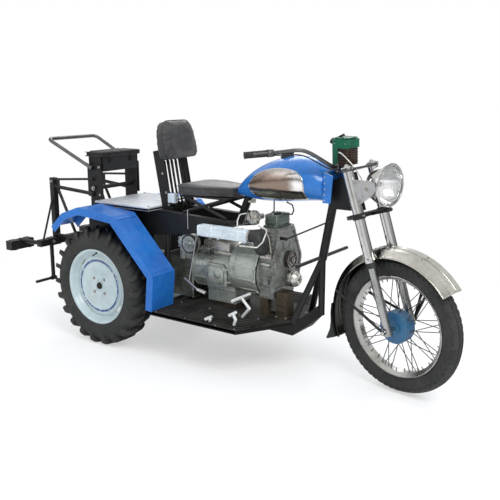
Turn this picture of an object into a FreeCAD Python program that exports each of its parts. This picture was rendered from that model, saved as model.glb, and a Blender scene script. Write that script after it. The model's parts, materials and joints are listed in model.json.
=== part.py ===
import FreeCAD, Part
import math
import os
import re
import Sketcher

# A home-built three-wheeled mini tractor: a motorcycle front end and tank, a car
# engine in a tube frame, a driven rear axle and a hand-lifted tool frame behind it.
# Millimetres. +X is forward, +Y the driver's left, +Z up. The origin lies on the
# ground under the middle of the machine. Places along X are given forward of the
# rear axle, and those of the front end along and across the steering axis.

SIZES = {
    # running gear
    "rear_axle_x": -632, "wheelbase": 1700, "running_gap": 0.05, "seat_gap": 0.3,
    "rear_tyre_radius": 343, "rear_tyre_width": 146, "rear_wheel_y": 310,
    "lug_height": 20, "lug_count": 22, "lug_width": 26, "lug_angle": 33, "lug_root": 6,
    "rear_rim_radius": 210, "rear_rim_width": 118, "rear_rim_flange": 14, "rim_wall": 5,
    "disc_depth": 34, "hub_radius": 38, "hub_length": 60, "axle_radius": 17,
    "axle_tube_radius": 38, "diff_radius": 92, "diff_width": 150,
    "front_tyre_radius": 340, "front_tyre_width": 92, "front_tyre_steps": 48, "front_rim_radius": 250,
    "front_rim_width": 66, "front_rim_depth": 18, "front_hub_radius": 78, "front_hub_width": 96,
    "front_axle_radius": 9, "spoke_radius": 2.2, "spoke_count": 36,
    # steering, measured from the foot of the steering axis
    "rake": 17.6, "bar_turn": 4, "steer_rest": -12.3, "fork_offset": 60, "fork_half": 95,
    "slider_radius": 21, "shroud_radius": 25.5, "shroud_bottom": 335,
    "yoke_low": 545, "yoke_thick": 26, "yoke_high": 772, "yoke_margin": 4,
    "stem_radius": 14, "head_radius": 27, "head_gap": 6,
    "lamp_forward": 196.5, "lamp_up": 664.5, "lamp_radius": 98, "lamp_depth": 104, "lens_depth": 24,
    "rim_reach": 6, "rim_depth": 16, "lamp_tail": 30, "ear_sheet": 3,
    "rest_arm_half": 11, "rest_arm_thick": 16, "rest_pad_half": 17, "rest_pad_radius": 10,
    "guard_radius": 378, "guard_width": 129.4, "guard_sheet": 3, "guard_drop": 34,
    "guard_lug": 8, "stay_rear": 142, "stay_middle": 44, "stay_front": 53, "stay_eye": 12, "guard_front": 20,
    "guard_rear": 184,
    "bar_radius": 11, "bar_rise_up": 922, "bar_rise_back": 80, "bar_rise_half": 215, "bar_bend": 40,
    "clamp_back": 45, "clamp_up": 811, "clamp_half": 70, "riser_half": 38, "riser_radius": 12,
    "grip_up": 973, "grip_back": 322, "grip_half": 358, "grip_radius": 16, "grip_length": 118,
    "console_side": 92, "console_height": 123, "console_up": 873, "console_cap": 42, "console_back": 32,
    # side panels and decks
    "sheet": 3, "fender_outer": 392, "fender_inner": 212, "fender_skirt": 40,
    "fender_tail_x": -323, "fender_tail_z": 662, "fender_back_x": -230, "fender_back_z": 748,
    "fender_crown_x": -92, "fender_crown_z": 796, "fender_front_x": 174, "fender_front_z": 771,
    "fender_knee_x": 460, "fender_knee_z": 475, "fender_foot_x": 441, "fender_foot_z": 278.5,
    "deck_rear_x": -139, "deck_front_x": 280, "deck_top": 806, "deck_thick": 22, "deck_half": 211.5,
    "board_top": 278, "board_thick": 12, "board_rear_x": 420, "board_mid_x": 998,
    "board_front_x": 1157, "board_half": 388, "board_nose_half": 105,
    "skid_front_x": 1275, "skid_front_z": 311, "skid_low_x": 1157, "skid_low_z": 205,
    "skid_rear_x": 1081, "skid_rear_half": 240, "skid_half": 105, "nose_top": 382,
    # frame
    "beam_half": 120, "beam_width": 34, "beam_rear_x": -230, "beam_front_x": 783,
    "beam_front_top": 766, "beam_front_low": 713, "beam_belly_x": 275, "beam_belly_low": 638,
    "beam_rear_low": 668, "spine_rear_x": 815, "spine_rear_z": 893, "spine_drop": 70,
    "gusset_x": 1304, "gusset_top": 1005, "gusset_low": 872, "gusset_width": 46,
    "tube_radius": 17, "down_radius": 22, "split_x": 1265, "split_z": 605,
    "cradle_x": 1150, "cradle_z": 270, "cradle_half": 98,
    "rail_half": 150, "rail_front_x": 1060, "rail_front_half": 100, "rail_radius": 17, "upright_x": 338,
    "axle_arm_half": 135, "rest_share": 0.05, "rest_half": 260, "rest_radius": 9,
    # rear portal, tool box and tool lift
    "portal_x": -190, "post_width": 96, "post_sheet": 8, "post_half": 150, "post_top": 1073,
    "box_depth": 124, "box_bottom": 972, "box_top": 1080, "box_wall": 2.5, "lid_lip": 8,
    "lid_height": 24, "hinge_radius": 5, "hinge_pin": 2.5, "hinge_half": 105,
    "pivot_z": 872, "pin_radius": 12, "rocker_low": 822, "rocker_top": 1012, "rocker_width": 108,
    "rocker_sheet": 8, "clear_side": 6,
    "handle_root_z": 990, "handle_x": -540, "handle_z": 1150, "handle_half": 195, "handle_radius": 11,
    "arm_radius": 11, "stay_radius": 7, "arm_top_z": 927, "arm_low_z": 838,
    "mast_x": -520, "mast_top": 913, "mast_low": 500, "mast_width": 34, "mast_half": 190,
    "leg_radius": 9, "leg_head_x": -475, "leg_head_z": 836, "leg_foot_x": -330, "leg_foot_z": 560,
    "rod_foot_y": 300,
    "tool_bar_z": 525, "tool_bar_half": 330, "tool_bar_side": 40,
    "carrier_x": -740, "carrier_z": 494, "carrier_length": 170, "carrier_side": 56, "carrier_inset": 30,
    "stub_radius": 13, "stub_drop": 6,
    "shank_y": 235, "shank_low": 292, "shank_radius": 12, "peg_length": 155, "peg_radius": 9, "peg_heel": 22,
    "collar": 2,
    # seat
    "cushion_rear_x": 420, "cushion_taper_x": 580, "cushion_front_x": 772, "cushion_half": 150,
    "cushion_nose_half": 84, "cushion_low": 884, "cushion_thick": 68,
    "pan_sheet": 8, "pan_rear_x": 450, "pan_front_x": 750, "pan_half": 133, "scissor_radius": 9,
    "back_x": 338, "back_low": 1066, "back_top": 1286, "back_half": 150, "back_thick": 72, "back_lean": 11,
    "back_plate_width": 66, "back_plate_rise": 60, "back_plate_half": 100, "back_plate_sheet": 6,
    "back_band": 50, "slat_count": 5, "slat_width": 12,
    # tank
    "tank_rear_x": 780, "tank_front_x": 1298, "tank_top": 1120, "tank_bottom": 880,
    "tank_half": 138, "cap_x": 1050, "cap_radius": 30, "cap_height": 24,
    "cheek_low": 905, "cheek_top": 1056, "cheek_top_low": 1040, "cheek_top_x": 1352, "cheek_front_x": 1342,
    "cheek_half": 75, "cheek_sheet": 4,
    # engine and drive line
    "engine_rear_x": 950, "engine_front_x": 1034, "engine_half": 100, "engine_top": 748,
    "engine_bottom": 376, "sump_bottom": 300, "sump_half": 62, "sump_length": 70,
    "rocker_half": 62, "rocker_inset": 6, "rocker_rise": 66, "rib_count": 6, "rib_depth": 8, "rib_thick": 9,
    "cover_sheet": 16, "cover_low": 420, "cover_low_half": 125, "cover_knee": 580, "cover_knee_half": 150,
    "cover_top_half": 72, "pulley_x": 1062, "pulley_z": 578, "pulley_radius": 48, "pulley_width": 26,
    "bell_rear_x": 770, "bell_radius": 132, "bell_z": 500, "gearbox_rear_x": 500, "gearbox_radius": 108,
    "gearbox_z": 468, "transfer_rear_x": 262, "transfer_half": 96, "transfer_top": 520,
    "transfer_bottom": 300, "belt_drum_x": 492, "belt_drum_y": -112, "belt_drum_z": 616,
    "belt_drum_radius": 50, "belt_drum_width": 60, "belt_neck_width": 50, "belt_neck_thick": 20,
    "silencer_rear_x": 613, "silencer_front_x": 928, "silencer_y": -170, "silencer_z": 713,
    "silencer_height": 60, "silencer_width": 62,
    "fan_x": 1070, "fan_y": 10, "fan_z": 474, "fan_radius": 44, "fan_length": 58,
    "carb_x": 915, "carb_y": -105, "carb_z": 800, "carb_radius": 36, "carb_height": 74,
    "carb_throat": 20, "carb_reach": 50,
    "elbow_radius": 28, "elbow_forward": 992, "elbow_drop": 72, "elbow_bend": 34,
    "mount_width": 48, "mount_thick": 34, "mount_spread": 2, "cross_mount_x": 620,
    "cross_mount_length": 150, "cross_mount_half": 70,
    "nose_mount_right": -95, "nose_mount_width": 80, "nose_mount_length": 56, "nose_mount_height": 140,
    "pan_low": 300, "pan_side": 78, "box_pan_x": 590, "box_pan_length": 185,
    "hose_radius": 3.5, "hose_bend": 14, "lever_radius": 5, "lever_knob": 8, "lever_reach": 26,
    "lever_short": 60,
    "cable_lead": 75, "cable_lift": 10, "perch_gap": 4, "perch_width": 22, "perch_wall": 7, "rod_radius": 6,
    "rod_knob": 11,
    # foot controls
    "pedal_radius": 8, "brake_x": 900, "brake_y": -200, "brake_z": 390, "brake_half": 80, "brake_knee": 52,
    "clutch_x": 940, "clutch_y": -330, "clutch_z": 342, "clutch_half": 28, "clutch_knee": 18,
    "shift_x": 800, "shift_y": -350, "shift_z": 300, "shift_half": 24, "shift_knee": 12,
}

# Middle lines of the hoses and control rods: forward of the rear axle, to the left, up.
ROUTES = {
    "fuel_tap": ((1000, -45, 885.1), (1004, -52, 858), (1016, -70, 838), (1000, -82, 822)),
    "fuel_return": ((1066, -30, 884), (1100, -30, 872), (1108, -28, 846), (1096, -24, 822), (1022, -20, 818)),
    "breather_top": ((856, -170, 741.4), (856, -170, 785), (856, -150, 815), (884, -128, 822)),
    "breather_side": ((975, -150, 768), (1034, -160, 755), (1034, -201.8, 700), (1000, -201.8, 668),
                      (892, -201.8, 664)),
    "clutch_rod": ((502, -140.8, 700), (502, -140.8, 806)),
    "shift_link": ((560, -134, 679.3), (560, -212, 423.3)),
    "shift_lever": ((520, -200, 436), (640, -236, 398), (700, -240, 388)),
}

# The left bar cable in the bars' own frame, from its lever's side down to the upper yoke.
BAR_CABLE = ((-62, 200, 946), (-24, 140, 900), (14, 100, 846), (30, 92, 806))

doc = FreeCAD.newDocument("MiniTractor")
sheet = doc.addObject("Spreadsheet::Sheet", "Sizes")
for row, (alias, number) in enumerate(SIZES.items(), start=1):
    sheet.set("A%d" % row, alias.replace("_", " "))
    sheet.set("B%d" % row, str(number))
    sheet.setAlias("B%d" % row, alias)
doc.recompute()


class Values:
    """The sheet's numbers, read by name for the shapes that Part's functions make."""

    def __getattr__(self, alias):
        return float(sheet.get(alias))


s = Values()
Vector = FreeCAD.Vector
X, Y, Z = Vector(1, 0, 0), Vector(0, 1, 0), Vector(0, 0, 1)
parts = []


def formula(text):
    """A formula written in the sheet's names, as FreeCAD spells it."""
    return re.sub(r"[a-z][a-z_]+", lambda word: "Sizes." + word[0] if word[0] in SIZES else word[0],
                  str(text))


def at(forward, side, up):
    """A point given forward of the rear axle."""
    return Vector(s.rear_axle_x + forward, side, up)


def route(name):
    """The points of one hose or rod."""
    return [at(*point) for point in ROUTES[name]]


def keep(item, label):
    """Name an object as one of the machine's pieces."""
    item.Label = label
    parts.append(item)
    return item


def place(item, forward=None, side=None, up=None, turn=None):
    """Put a primitive at a point given forward of the rear axle."""
    if turn is not None:
        item.Placement.Rotation = turn
    for axis, text in zip("xyz", ("rear_axle_x + " + str(forward), side, up)):
        item.setExpression(".Placement.Base." + axis, formula(text))
    return item


def block(name, forward, side, up, length, width, height):
    """A box from its low corner."""
    item = doc.addObject("Part::Box", name)
    for key, text in zip(("Length", "Width", "Height"), (length, width, height)):
        item.setExpression(key, formula(text))
    return place(item, forward, side, up)


ALONG_X = FreeCAD.Rotation(Y, 90)
ALONG_Y = FreeCAD.Rotation(X, -90)
UPRIGHT = FreeCAD.Rotation()


def drum(name, forward, side, up, radius, length, turn=UPRIGHT):
    """A cylinder from the middle of its low end, along the given direction."""
    item = doc.addObject("Part::Cylinder", name)
    item.setExpression("Radius", formula(radius))
    item.setExpression("Height", formula(length))
    return place(item, forward, side, up, turn)


def fused(label, items):
    """Several primitives as one piece."""
    if len(items) == 1:
        return keep(items[0], label)
    whole = doc.addObject("Part::MultiFuse", label)
    whole.Shapes = items
    whole.Refine = True
    return keep(whole, label)


def feature(label, shape, placement=None):
    """A piece that only Part's functions make."""
    item = doc.addObject("Part::Feature", label)
    item.Shape = shape
    if placement is not None:
        item.Placement = placement * shape.Placement
    return keep(item, label)


def plane(body, role):
    return next(part for part in body.Origin.OriginFeatures if part.Role == role)


def outline(body, name, role, corners):
    """A closed sketch whose corners are tied to the sheet by formulas."""
    sketch = body.newObject("Sketcher::SketchObject", name)
    sketch.AttachmentSupport = [(plane(body, role), "")]
    sketch.MapMode = "FlatFace"
    count = len(corners)
    rough = [Vector(math.cos(2 * math.pi * i / count), math.sin(2 * math.pi * i / count), 0) * 100
             for i in range(count)]
    for i in range(count):
        sketch.addGeometry(Part.LineSegment(rough[i], rough[(i + 1) % count]), False)
    for i in range(count):
        sketch.addConstraint(Sketcher.Constraint("Coincident", i, 2, (i + 1) % count, 1))
    for i, corner in enumerate(corners):
        for kind, text in zip(("DistanceX", "DistanceY"), corner):
            index = sketch.addConstraint(Sketcher.Constraint(kind, -1, 1, i, 1, 1.0))
            sketch.setExpression("Constraints[%d]" % index, formula(text))
    return sketch


def side_plate(label, corners, width, side="0"):
    """A body padded evenly to both sides of its side view."""
    body = doc.addObject("PartDesign::Body", label)
    sketch = outline(body, label + "_outline", "XZ_Plane", [("rear_axle_x + " + x, z) for x, z in corners])
    pad = body.newObject("PartDesign::Pad", label + "_pad")
    pad.Profile = sketch
    pad.SideType = "Symmetric"
    pad.setExpression("Length", formula(width))
    body.setExpression(".Placement.Base.y", formula(side))
    return keep(body, label)


def rod(start, end, radius):
    """A straight bar between two points."""
    return Part.makeCylinder(radius, (end - start).Length, start, end - start)


def bent_rod(points, radius, bend):
    """A round bar through the points, its corners rounded to the bend radius."""
    edges = []
    here = points[0]
    for before, corner, after in zip(points, points[1:], points[2:]):
        back, on = (before - corner).normalize(), (after - corner).normalize()
        half = back.getAngle(on) / 2
        reach = bend / math.tan(half)
        first, last = corner + back * reach, corner + on * reach
        middle = corner + (back + on).normalize() * (bend / math.sin(half) - bend)
        edges.append(Part.LineSegment(here, first).toShape())
        edges.append(Part.Arc(first, middle, last).toShape())
        here = last
    edges.append(Part.LineSegment(here, points[-1]).toShape())
    path = Part.Wire(edges)
    ring = Part.Wire(Part.Circle(points[0], points[1] - points[0], radius).toShape())
    return path.makePipeShell([ring], True, False)


def joined(shapes):
    """Shapes fused to one solid."""
    return shapes[0].fuse(shapes[1:]).removeSplitter()


def polygon(points):
    return Part.Face(Part.makePolygon(points + [points[0]]))


def hoop(section, steps):
    """A closed ring about the Y axis in flat facets; the section's corners are (radius, across)."""
    def corner(step, index):
        radius, across = section[index % len(section)]
        turn = 2 * math.pi * step / steps
        return Vector(radius * math.sin(turn), across, radius * math.cos(turn))

    faces = []
    for step in range(steps):
        for index in range(len(section)):
            faces.append(polygon([corner(step, index), corner(step + 1, index), corner(step + 1, index + 1),
                                  corner(step, index + 1)]))
    return Part.makeSolid(Part.makeShell(faces))


def prism(low, high):
    """A solid between two outlines with as many corners, its sides in flat triangles."""
    faces = []
    for ring in (low, high):
        faces += [polygon([ring[0], ring[i], ring[i + 1]]) for i in range(1, len(ring) - 1)]
    for i in range(len(low)):
        k = (i + 1) % len(low)
        faces += [polygon([low[i], low[k], high[k]]), polygon([low[i], high[k], high[i]])]
    solid = Part.makeSolid(Part.makeShell(faces))
    return solid if solid.Volume > 0 else solid.reversed()


def mirrored(shape):
    """The other side's copy of a shape."""
    return shape.mirror(Vector(), Y)


def revolved(label, corners, placement):
    """A ring or disc turned about the Y axis; corners are (radius, across) formulas."""
    body = doc.addObject("PartDesign::Body", label)
    sketch = outline(body, label + "_section", "YZ_Plane", [(across, radius) for radius, across in corners])
    turned = body.newObject("PartDesign::Revolution", label + "_turned")
    turned.Profile = sketch
    turned.ReferenceAxis = (sketch, ["H_Axis"])
    turned.Angle = 360
    body.Placement = placement
    return keep(body, label)


# Steering frame: X across the fork, Y left, Z up along the steering axis
def fork_foot():
    """The point of the steering axis level with the front wheel's centre."""
    angle = math.radians(s.rake)
    return at(s.wheelbase - s.fork_offset * math.cos(angle), 0,
              s.front_tyre_radius - s.fork_offset * math.sin(angle))


FORK = FreeCAD.Placement(fork_foot(), FreeCAD.Rotation(Y, -s.rake) * FreeCAD.Rotation(Z, s.steer_rest))
BARS = FORK * FreeCAD.Placement(Vector(), FreeCAD.Rotation(Z, s.bar_turn))
FORK_STRAIGHT = FreeCAD.Placement(fork_foot(), FreeCAD.Rotation(Y, -s.rake))
FRONT_WHEEL = FORK * FreeCAD.Placement(Vector(s.fork_offset, 0, 0), FreeCAD.Rotation())
REAR_WHEEL = {"right": FreeCAD.Placement(at(0, -s.rear_wheel_y, s.rear_tyre_radius),
                                         FreeCAD.Rotation(Z, 180)),
              "left": FreeCAD.Placement(at(0, s.rear_wheel_y, s.rear_tyre_radius), FreeCAD.Rotation())}


# Rear wheels; +Y points outwards in a wheel's own frame
def rear_tyre(side):
    half = s.rear_tyre_width / 2
    carcass = s.rear_tyre_radius - s.lug_height
    steps = int(2 * s.lug_count)
    bead = s.rear_rim_radius / math.cos(math.pi / steps)
    bead_half = s.rear_rim_width / 2 - s.rim_wall
    flange = bead + s.rear_rim_flange + 1
    section = [(bead, -bead_half), (flange, -bead_half), (flange + 20, -half), (carcass - 34, -half),
               (carcass, -half + 24), (carcass, half - 24), (carcass - 34, half), (flange + 20, half),
               (flange, bead_half), (bead, bead_half)]
    tyre = hoop(section, steps)
    foot, tip = carcass - s.lug_root, s.rear_tyre_radius
    slant = half * math.tan(math.radians(s.lug_angle))

    def ring(radius):
        """The lug's four corners at one radius."""
        points = []
        for across, along in ((0, -1), (half, -1), (half, 1), (0, 1)):
            turn = (across / half * slant + along * s.lug_width / 2) / s.rear_tyre_radius
            points.append(Vector(radius * math.sin(turn), across, radius * math.cos(turn)))
        return points

    lug = prism(ring(foot), ring(tip))
    lugs = []
    for turn in range(int(s.lug_count)):
        for flip in (0, 180):
            one = lug.copy()
            one.rotate(Vector(), Z, flip)
            one.rotate(Vector(), Y, (turn + (0.5 if flip else 0)) * 360 / s.lug_count)
            lugs.append(one)
    feature("rear_tyre_" + side, tyre.fuse(lugs), REAR_WHEEL[side])


def rear_wheel(side):
    rim_half = "rear_rim_width / 2"
    edge = "rear_rim_radius + rear_rim_flange"
    seat = "rear_rim_radius - seat_gap"
    inner = "rear_rim_radius - seat_gap - rim_wall"
    face = "rear_rim_width / 2 - disc_depth"
    bore = "axle_radius + running_gap"
    corners = [(edge, "-" + rim_half), (edge, "-" + rim_half + " + rim_wall - seat_gap"),
               (seat, "-" + rim_half + " + rim_wall - seat_gap"), (seat, rim_half + " - rim_wall + seat_gap"),
               (edge, rim_half + " - rim_wall + seat_gap"), (edge, rim_half),
               (inner, rim_half), (inner, face), (bore, face), (bore, face + " - hub_length"),
               ("hub_radius", face + " - hub_length"), ("hub_radius", face + " - rim_wall"),
               (inner, face + " - rim_wall"), (inner, "-" + rim_half)]
    revolved("rear_wheel_" + side, corners, REAR_WHEEL[side])


def rear_axle():
    reach = "rear_wheel_y + rear_rim_width / 2 - disc_depth - hub_length - clear_side"
    tube = drum("axle_tube", "0", "-(" + reach + ")", "rear_tyre_radius", "axle_tube_radius",
                "2 * (" + reach + ")",
                ALONG_Y)
    shaft_reach = "rear_wheel_y + rear_rim_width / 2 - disc_depth + clear_side"
    shaft = drum("axle_shaft", "0", "-(" + shaft_reach + ")", "rear_tyre_radius", "axle_radius",
                 "2 * (" + shaft_reach + ")", ALONG_Y)
    middle = drum("differential", "0", "-diff_width / 2", "rear_tyre_radius", "diff_radius", "diff_width",
                  ALONG_Y)
    fused("rear_axle", [tube, shaft, middle])


# Front wheel, in the frame of its own centre
def front_tyre():
    half = s.front_tyre_width / 2
    steps = int(s.front_tyre_steps)
    bead = s.front_rim_radius / math.cos(math.pi / steps)
    section = [(bead, -half * 0.62), (bead + 20, -half), (s.front_tyre_radius - 32, -half),
               (s.front_tyre_radius - 8, -half * 0.6), (s.front_tyre_radius, 0),
               (s.front_tyre_radius - 8, half * 0.6), (s.front_tyre_radius - 32, half), (bead + 20, half),
               (bead, half * 0.62)]
    feature("front_tyre", hoop(section, steps), FRONT_WHEEL)


def front_wheel():
    bore = "front_axle_radius + running_gap"
    hub_half = "front_hub_width / 2"
    revolved("front_hub", [(bore, "-" + hub_half), (bore, hub_half), ("front_hub_radius / 2", hub_half),
                           ("front_hub_radius", hub_half + " / 3"), ("front_hub_radius", "-" + hub_half),
                           ], FRONT_WHEEL)
    half = s.front_rim_width / 2
    outer = s.front_rim_radius - s.seat_gap
    inner = s.front_rim_radius - s.front_rim_depth
    rim = polygon([Vector(0, -half, outer), Vector(0, half, outer), Vector(0, half / 2, inner),
                   Vector(0, -half / 2, inner)]).revolve(Vector(), Y, 360)
    spokes = []
    for count in range(int(s.spoke_count)):
        flange = 1 if count % 2 else -1
        start = Vector(0, flange * s.front_hub_width * 0.28, s.front_hub_radius - 14)
        lean = math.radians(28 if count // 2 % 2 else -28)
        reach = s.front_rim_radius - s.front_rim_depth + 3
        end = Vector(reach * math.sin(lean), 0, reach * math.cos(lean))
        spoke = rod(start, end, s.spoke_radius)
        spoke.rotate(Vector(), Y, count * 360 / s.spoke_count)
        spokes.append(spoke)
    room = Part.makeCylinder(s.front_hub_radius + s.seat_gap, s.front_hub_width,
                             Vector(0, -s.front_hub_width / 2, 0), Y)
    feature("front_rim", rim.fuse([spoke.cut(room) for spoke in spokes]), FRONT_WHEEL)


# Front end, in the fork's frame
def fork():
    axle_reach = s.fork_half + s.slider_radius
    legs = []
    for side in (-1, 1):
        low = Vector(s.fork_offset, side * s.fork_half, -s.slider_radius - 4)
        legs.append(rod(low, Vector(s.fork_offset, side * s.fork_half, s.shroud_bottom), s.slider_radius))
    axle = rod(Vector(s.fork_offset, -axle_reach - 12, 0), Vector(s.fork_offset, axle_reach + 12, 0),
               s.front_axle_radius)
    feature("fork_sliders", joined(legs + [axle]), FORK)
    covers = []
    for side in (-1, 1):
        foot = Vector(s.fork_offset, side * s.fork_half, 0)
        covers.append(rod(foot + Z * s.shroud_bottom, foot + Z * s.yoke_low, s.shroud_radius))
        covers.append(rod(foot + Z * (s.yoke_low + s.yoke_thick), foot + Z * s.yoke_high, s.shroud_radius))
    feature("fork_covers", Part.makeCompound(covers), FORK)


def yokes():
    plates = []
    for height in (s.yoke_low, s.yoke_high):
        width = s.shroud_radius + s.yoke_margin
        ends = [Part.makeCylinder(width, s.yoke_thick, Vector(s.fork_offset, side * s.fork_half, height))
                for side in (-1, 1)]
        bridge = polygon([Vector(-s.clamp_back - s.riser_radius, -s.riser_half - s.riser_radius, height),
                          Vector(s.fork_offset, -s.fork_half - s.shroud_radius, height),
                          Vector(s.fork_offset + width, -s.fork_half, height),
                          Vector(s.fork_offset + width, s.fork_half, height),
                          Vector(s.fork_offset, s.fork_half + s.shroud_radius, height),
                          Vector(-s.clamp_back - s.riser_radius, s.riser_half + s.riser_radius, height)])
        plates += ends + [bridge.extrude(Z * s.yoke_thick)]
    stem = rod(Vector(0, 0, s.yoke_low), Vector(0, 0, s.yoke_high + s.yoke_thick), s.stem_radius)
    root, tip = s.fork_offset, s.lamp_forward - s.lamp_radius * math.sin(math.radians(s.rake))
    arm = Part.makeBox(tip - root, 2 * s.rest_arm_half, s.rest_arm_thick,
                       Vector(root, -s.rest_arm_half, s.yoke_low))
    middle = s.yoke_low + s.rest_arm_thick / 2
    pad = rod(Vector(tip, -s.rest_pad_half, middle), Vector(tip, s.rest_pad_half, middle), s.rest_pad_radius)
    feature("yokes", joined(plates + [stem, arm, pad]), FORK)


def bar_points():
    """The left half of the handlebar's line, from its clamp to its end."""
    return [Vector(-s.clamp_back, 0, s.clamp_up), Vector(-s.clamp_back, s.clamp_half, s.clamp_up),
            Vector(-s.bar_rise_back, s.bar_rise_half, s.bar_rise_up),
            Vector(-s.grip_back, s.grip_half, s.grip_up)]


def handlebar():
    half = bar_points()
    side = bent_rod(half, s.bar_radius, s.bar_bend)
    risers = [rod(Vector(-s.clamp_back, way * s.riser_half, s.yoke_high + s.yoke_thick),
                  Vector(-s.clamp_back, way * s.riser_half, s.clamp_up), s.riser_radius) for way in (-1, 1)]
    feature("handlebar", joined([side, mirrored(side)] + risers), BARS)
    toward = (half[3] - half[2]).normalize()
    start = half[3] - toward * s.grip_length
    grip = rod(start, half[3] + toward * 3, s.grip_radius)
    core = rod(start - toward * 2, half[3], s.bar_radius + s.running_gap)
    sleeve = grip.cut(core)
    feature("grips", Part.makeCompound([sleeve, mirrored(sleeve)]), BARS)


def headlamp():
    level = FreeCAD.Placement(Vector(s.lamp_forward, 0, s.lamp_up), FreeCAD.Rotation(Y, s.rake))
    waist, tail = Vector(-s.lamp_depth * 0.55, 0, s.lamp_radius * 0.84), Vector(-s.lamp_depth, 0, s.lamp_tail)
    top = Vector(0, 0, s.lamp_radius)
    edges = [Part.makeLine(Vector(), top), Part.Arc(top, waist, tail).toShape(),
             Part.makeLine(tail, Vector(tail.x, 0, 0)), Part.makeLine(Vector(tail.x, 0, 0), Vector())]
    bowl = Part.Face(Part.Wire(edges)).revolve(Vector(), X, 360)
    reach = s.lamp_radius + s.rim_reach
    opening = s.lamp_radius - s.rim_reach
    rim = Part.makeCylinder(reach, s.rim_depth, Vector(), X).cut(
        Part.makeCylinder(opening, s.rim_depth, Vector(s.seat_gap, 0, 0), X))
    feature("headlamp", joined([bowl, rim]), FORK * level)
    lens_edge = opening - s.seat_gap
    back, front = 2 * s.seat_gap, s.rim_depth / 2
    rise = s.lens_depth - front
    crown = (lens_edge ** 2 + rise ** 2) / (2 * rise)
    lens = Part.makeCylinder(lens_edge, s.lens_depth - back, Vector(back, 0, 0), X).common(
        Part.makeSphere(crown, Vector(s.lens_depth - crown, 0, 0)))
    feature("headlamp_lens", lens, FORK * level)
    root = s.fork_offset + s.shroud_radius * 0.7
    front = s.lamp_forward + s.rim_depth / 2
    ear = polygon([Vector(x, 0, z) for x, z in (
        (root, s.lamp_up + 70), (root, s.lamp_up - 60), (front - 30, s.lamp_up - 28), (front, s.lamp_up - 10),
        (front, s.lamp_up + 26), (front - 26, s.lamp_up + 40))])
    ear = ear.extrude(Y * s.ear_sheet)
    ear.translate(Y * (reach + s.seat_gap))
    tube = rod(Vector(s.fork_offset, s.fork_half, s.yoke_low),
               Vector(s.fork_offset, s.fork_half, s.yoke_high),
               s.shroud_radius)
    ear = ear.cut(tube)
    feature("lamp_brackets", Part.makeCompound([ear, mirrored(ear)]), FORK)


def mudguard():
    outer, inner = s.guard_radius + s.guard_sheet, s.guard_radius
    half = s.guard_width / 2
    section = polygon([Vector(inner - s.guard_drop, -half, 0),
                       Vector(inner - s.guard_drop, -half + s.guard_sheet, 0),
                       Vector(inner, -half + 26, 0), Vector(inner, half - 26, 0),
                       Vector(inner - s.guard_drop, half - s.guard_sheet, 0),
                       Vector(inner - s.guard_drop, half, 0),
                       Vector(outer, half - 24, 0), Vector(outer, -half + 24, 0)])
    section.rotate(Vector(), Y, -s.guard_front)
    guard = section.revolve(Vector(), Y, s.guard_front - s.guard_rear)
    guard.translate(Vector(s.fork_offset, 0, 0))
    start = Vector(s.fork_offset, half - s.guard_drop / 2, s.guard_radius - s.guard_drop / 2)
    lug = rod(start, Vector(start.x, s.fork_half - s.shroud_radius - s.seat_gap, start.z), s.guard_lug)
    feature("front_mudguard", joined([guard, lug, mirrored(lug)]), FORK)


def control_box():
    level = FreeCAD.Placement(Vector(0, 0, s.console_up), FreeCAD.Rotation(Y, s.rake))
    half, low = s.console_side / 2, -s.console_height / 2
    cap_low = s.console_height / 2 - s.console_cap
    cap = Part.makeBox(s.console_side, s.console_side, s.console_cap, Vector(-half, -half, cap_low))
    back = Part.makeBox(s.console_back, s.console_side, cap_low - low, Vector(-half, -half, low))
    shell = joined([cap, back])
    shell.Placement = level
    notch = rod(Vector(-s.clamp_back, -s.clamp_half, s.clamp_up),
                Vector(-s.clamp_back, s.clamp_half, s.clamp_up),
                s.bar_radius + s.seat_gap)
    notch.Placement = FreeCAD.Placement(Vector(), FreeCAD.Rotation(Z, s.bar_turn)) * notch.Placement
    feature("control_box", shell.cut(notch), FORK)
    front = -half + s.console_back + s.seat_gap
    margin = s.rim_reach
    core = Part.makeBox(half - margin - front, s.console_side - 2 * margin, cap_low - s.seat_gap - low,
                        Vector(front, -half + margin, low))
    core.Placement = level
    foot = rod(Vector(s.rim_reach, 0, s.yoke_high + s.yoke_thick), Vector(s.rim_reach, 0, s.console_up),
               s.riser_radius)
    feature("control_core", joined([core, foot]), FORK)


# Panels
def fender(side):
    edge = [(s.fender_tail_x, s.fender_tail_z), (s.fender_back_x, s.fender_back_z),
            (s.fender_crown_x, s.fender_crown_z), (s.fender_front_x, s.fender_front_z),
            (s.fender_knee_x, s.fender_knee_z), (s.fender_foot_x, s.fender_foot_z)]
    width = s.fender_outer - s.fender_inner
    strips = []
    for (x0, z0), (x1, z1) in zip(edge, edge[1:]):
        inward = Vector(z1 - z0, 0, x0 - x1).normalize()
        first, last = at(x0, s.fender_inner, z0), at(x1, s.fender_inner, z1)
        strips.append(polygon([first, last, last + inward * s.sheet,
                               first + inward * s.sheet]).extrude(Y * width))
        skirt = polygon([first, last, last + inward * s.fender_skirt, first + inward * s.fender_skirt])
        for shift in (0, width - s.sheet):
            wall = skirt.extrude(Y * s.sheet)
            wall.translate(Y * shift)
            strips.append(wall)
    panel = joined(strips)
    feature("fender_" + side, panel if side == "left" else mirrored(panel))


def deck():
    side_plate("deck_plate", [("deck_rear_x", "deck_top"), ("deck_front_x", "deck_top"),
                              ("deck_front_x", "deck_top - deck_thick"),
                              ("deck_rear_x", "deck_top - deck_thick")],
               "2 * deck_half")


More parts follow.
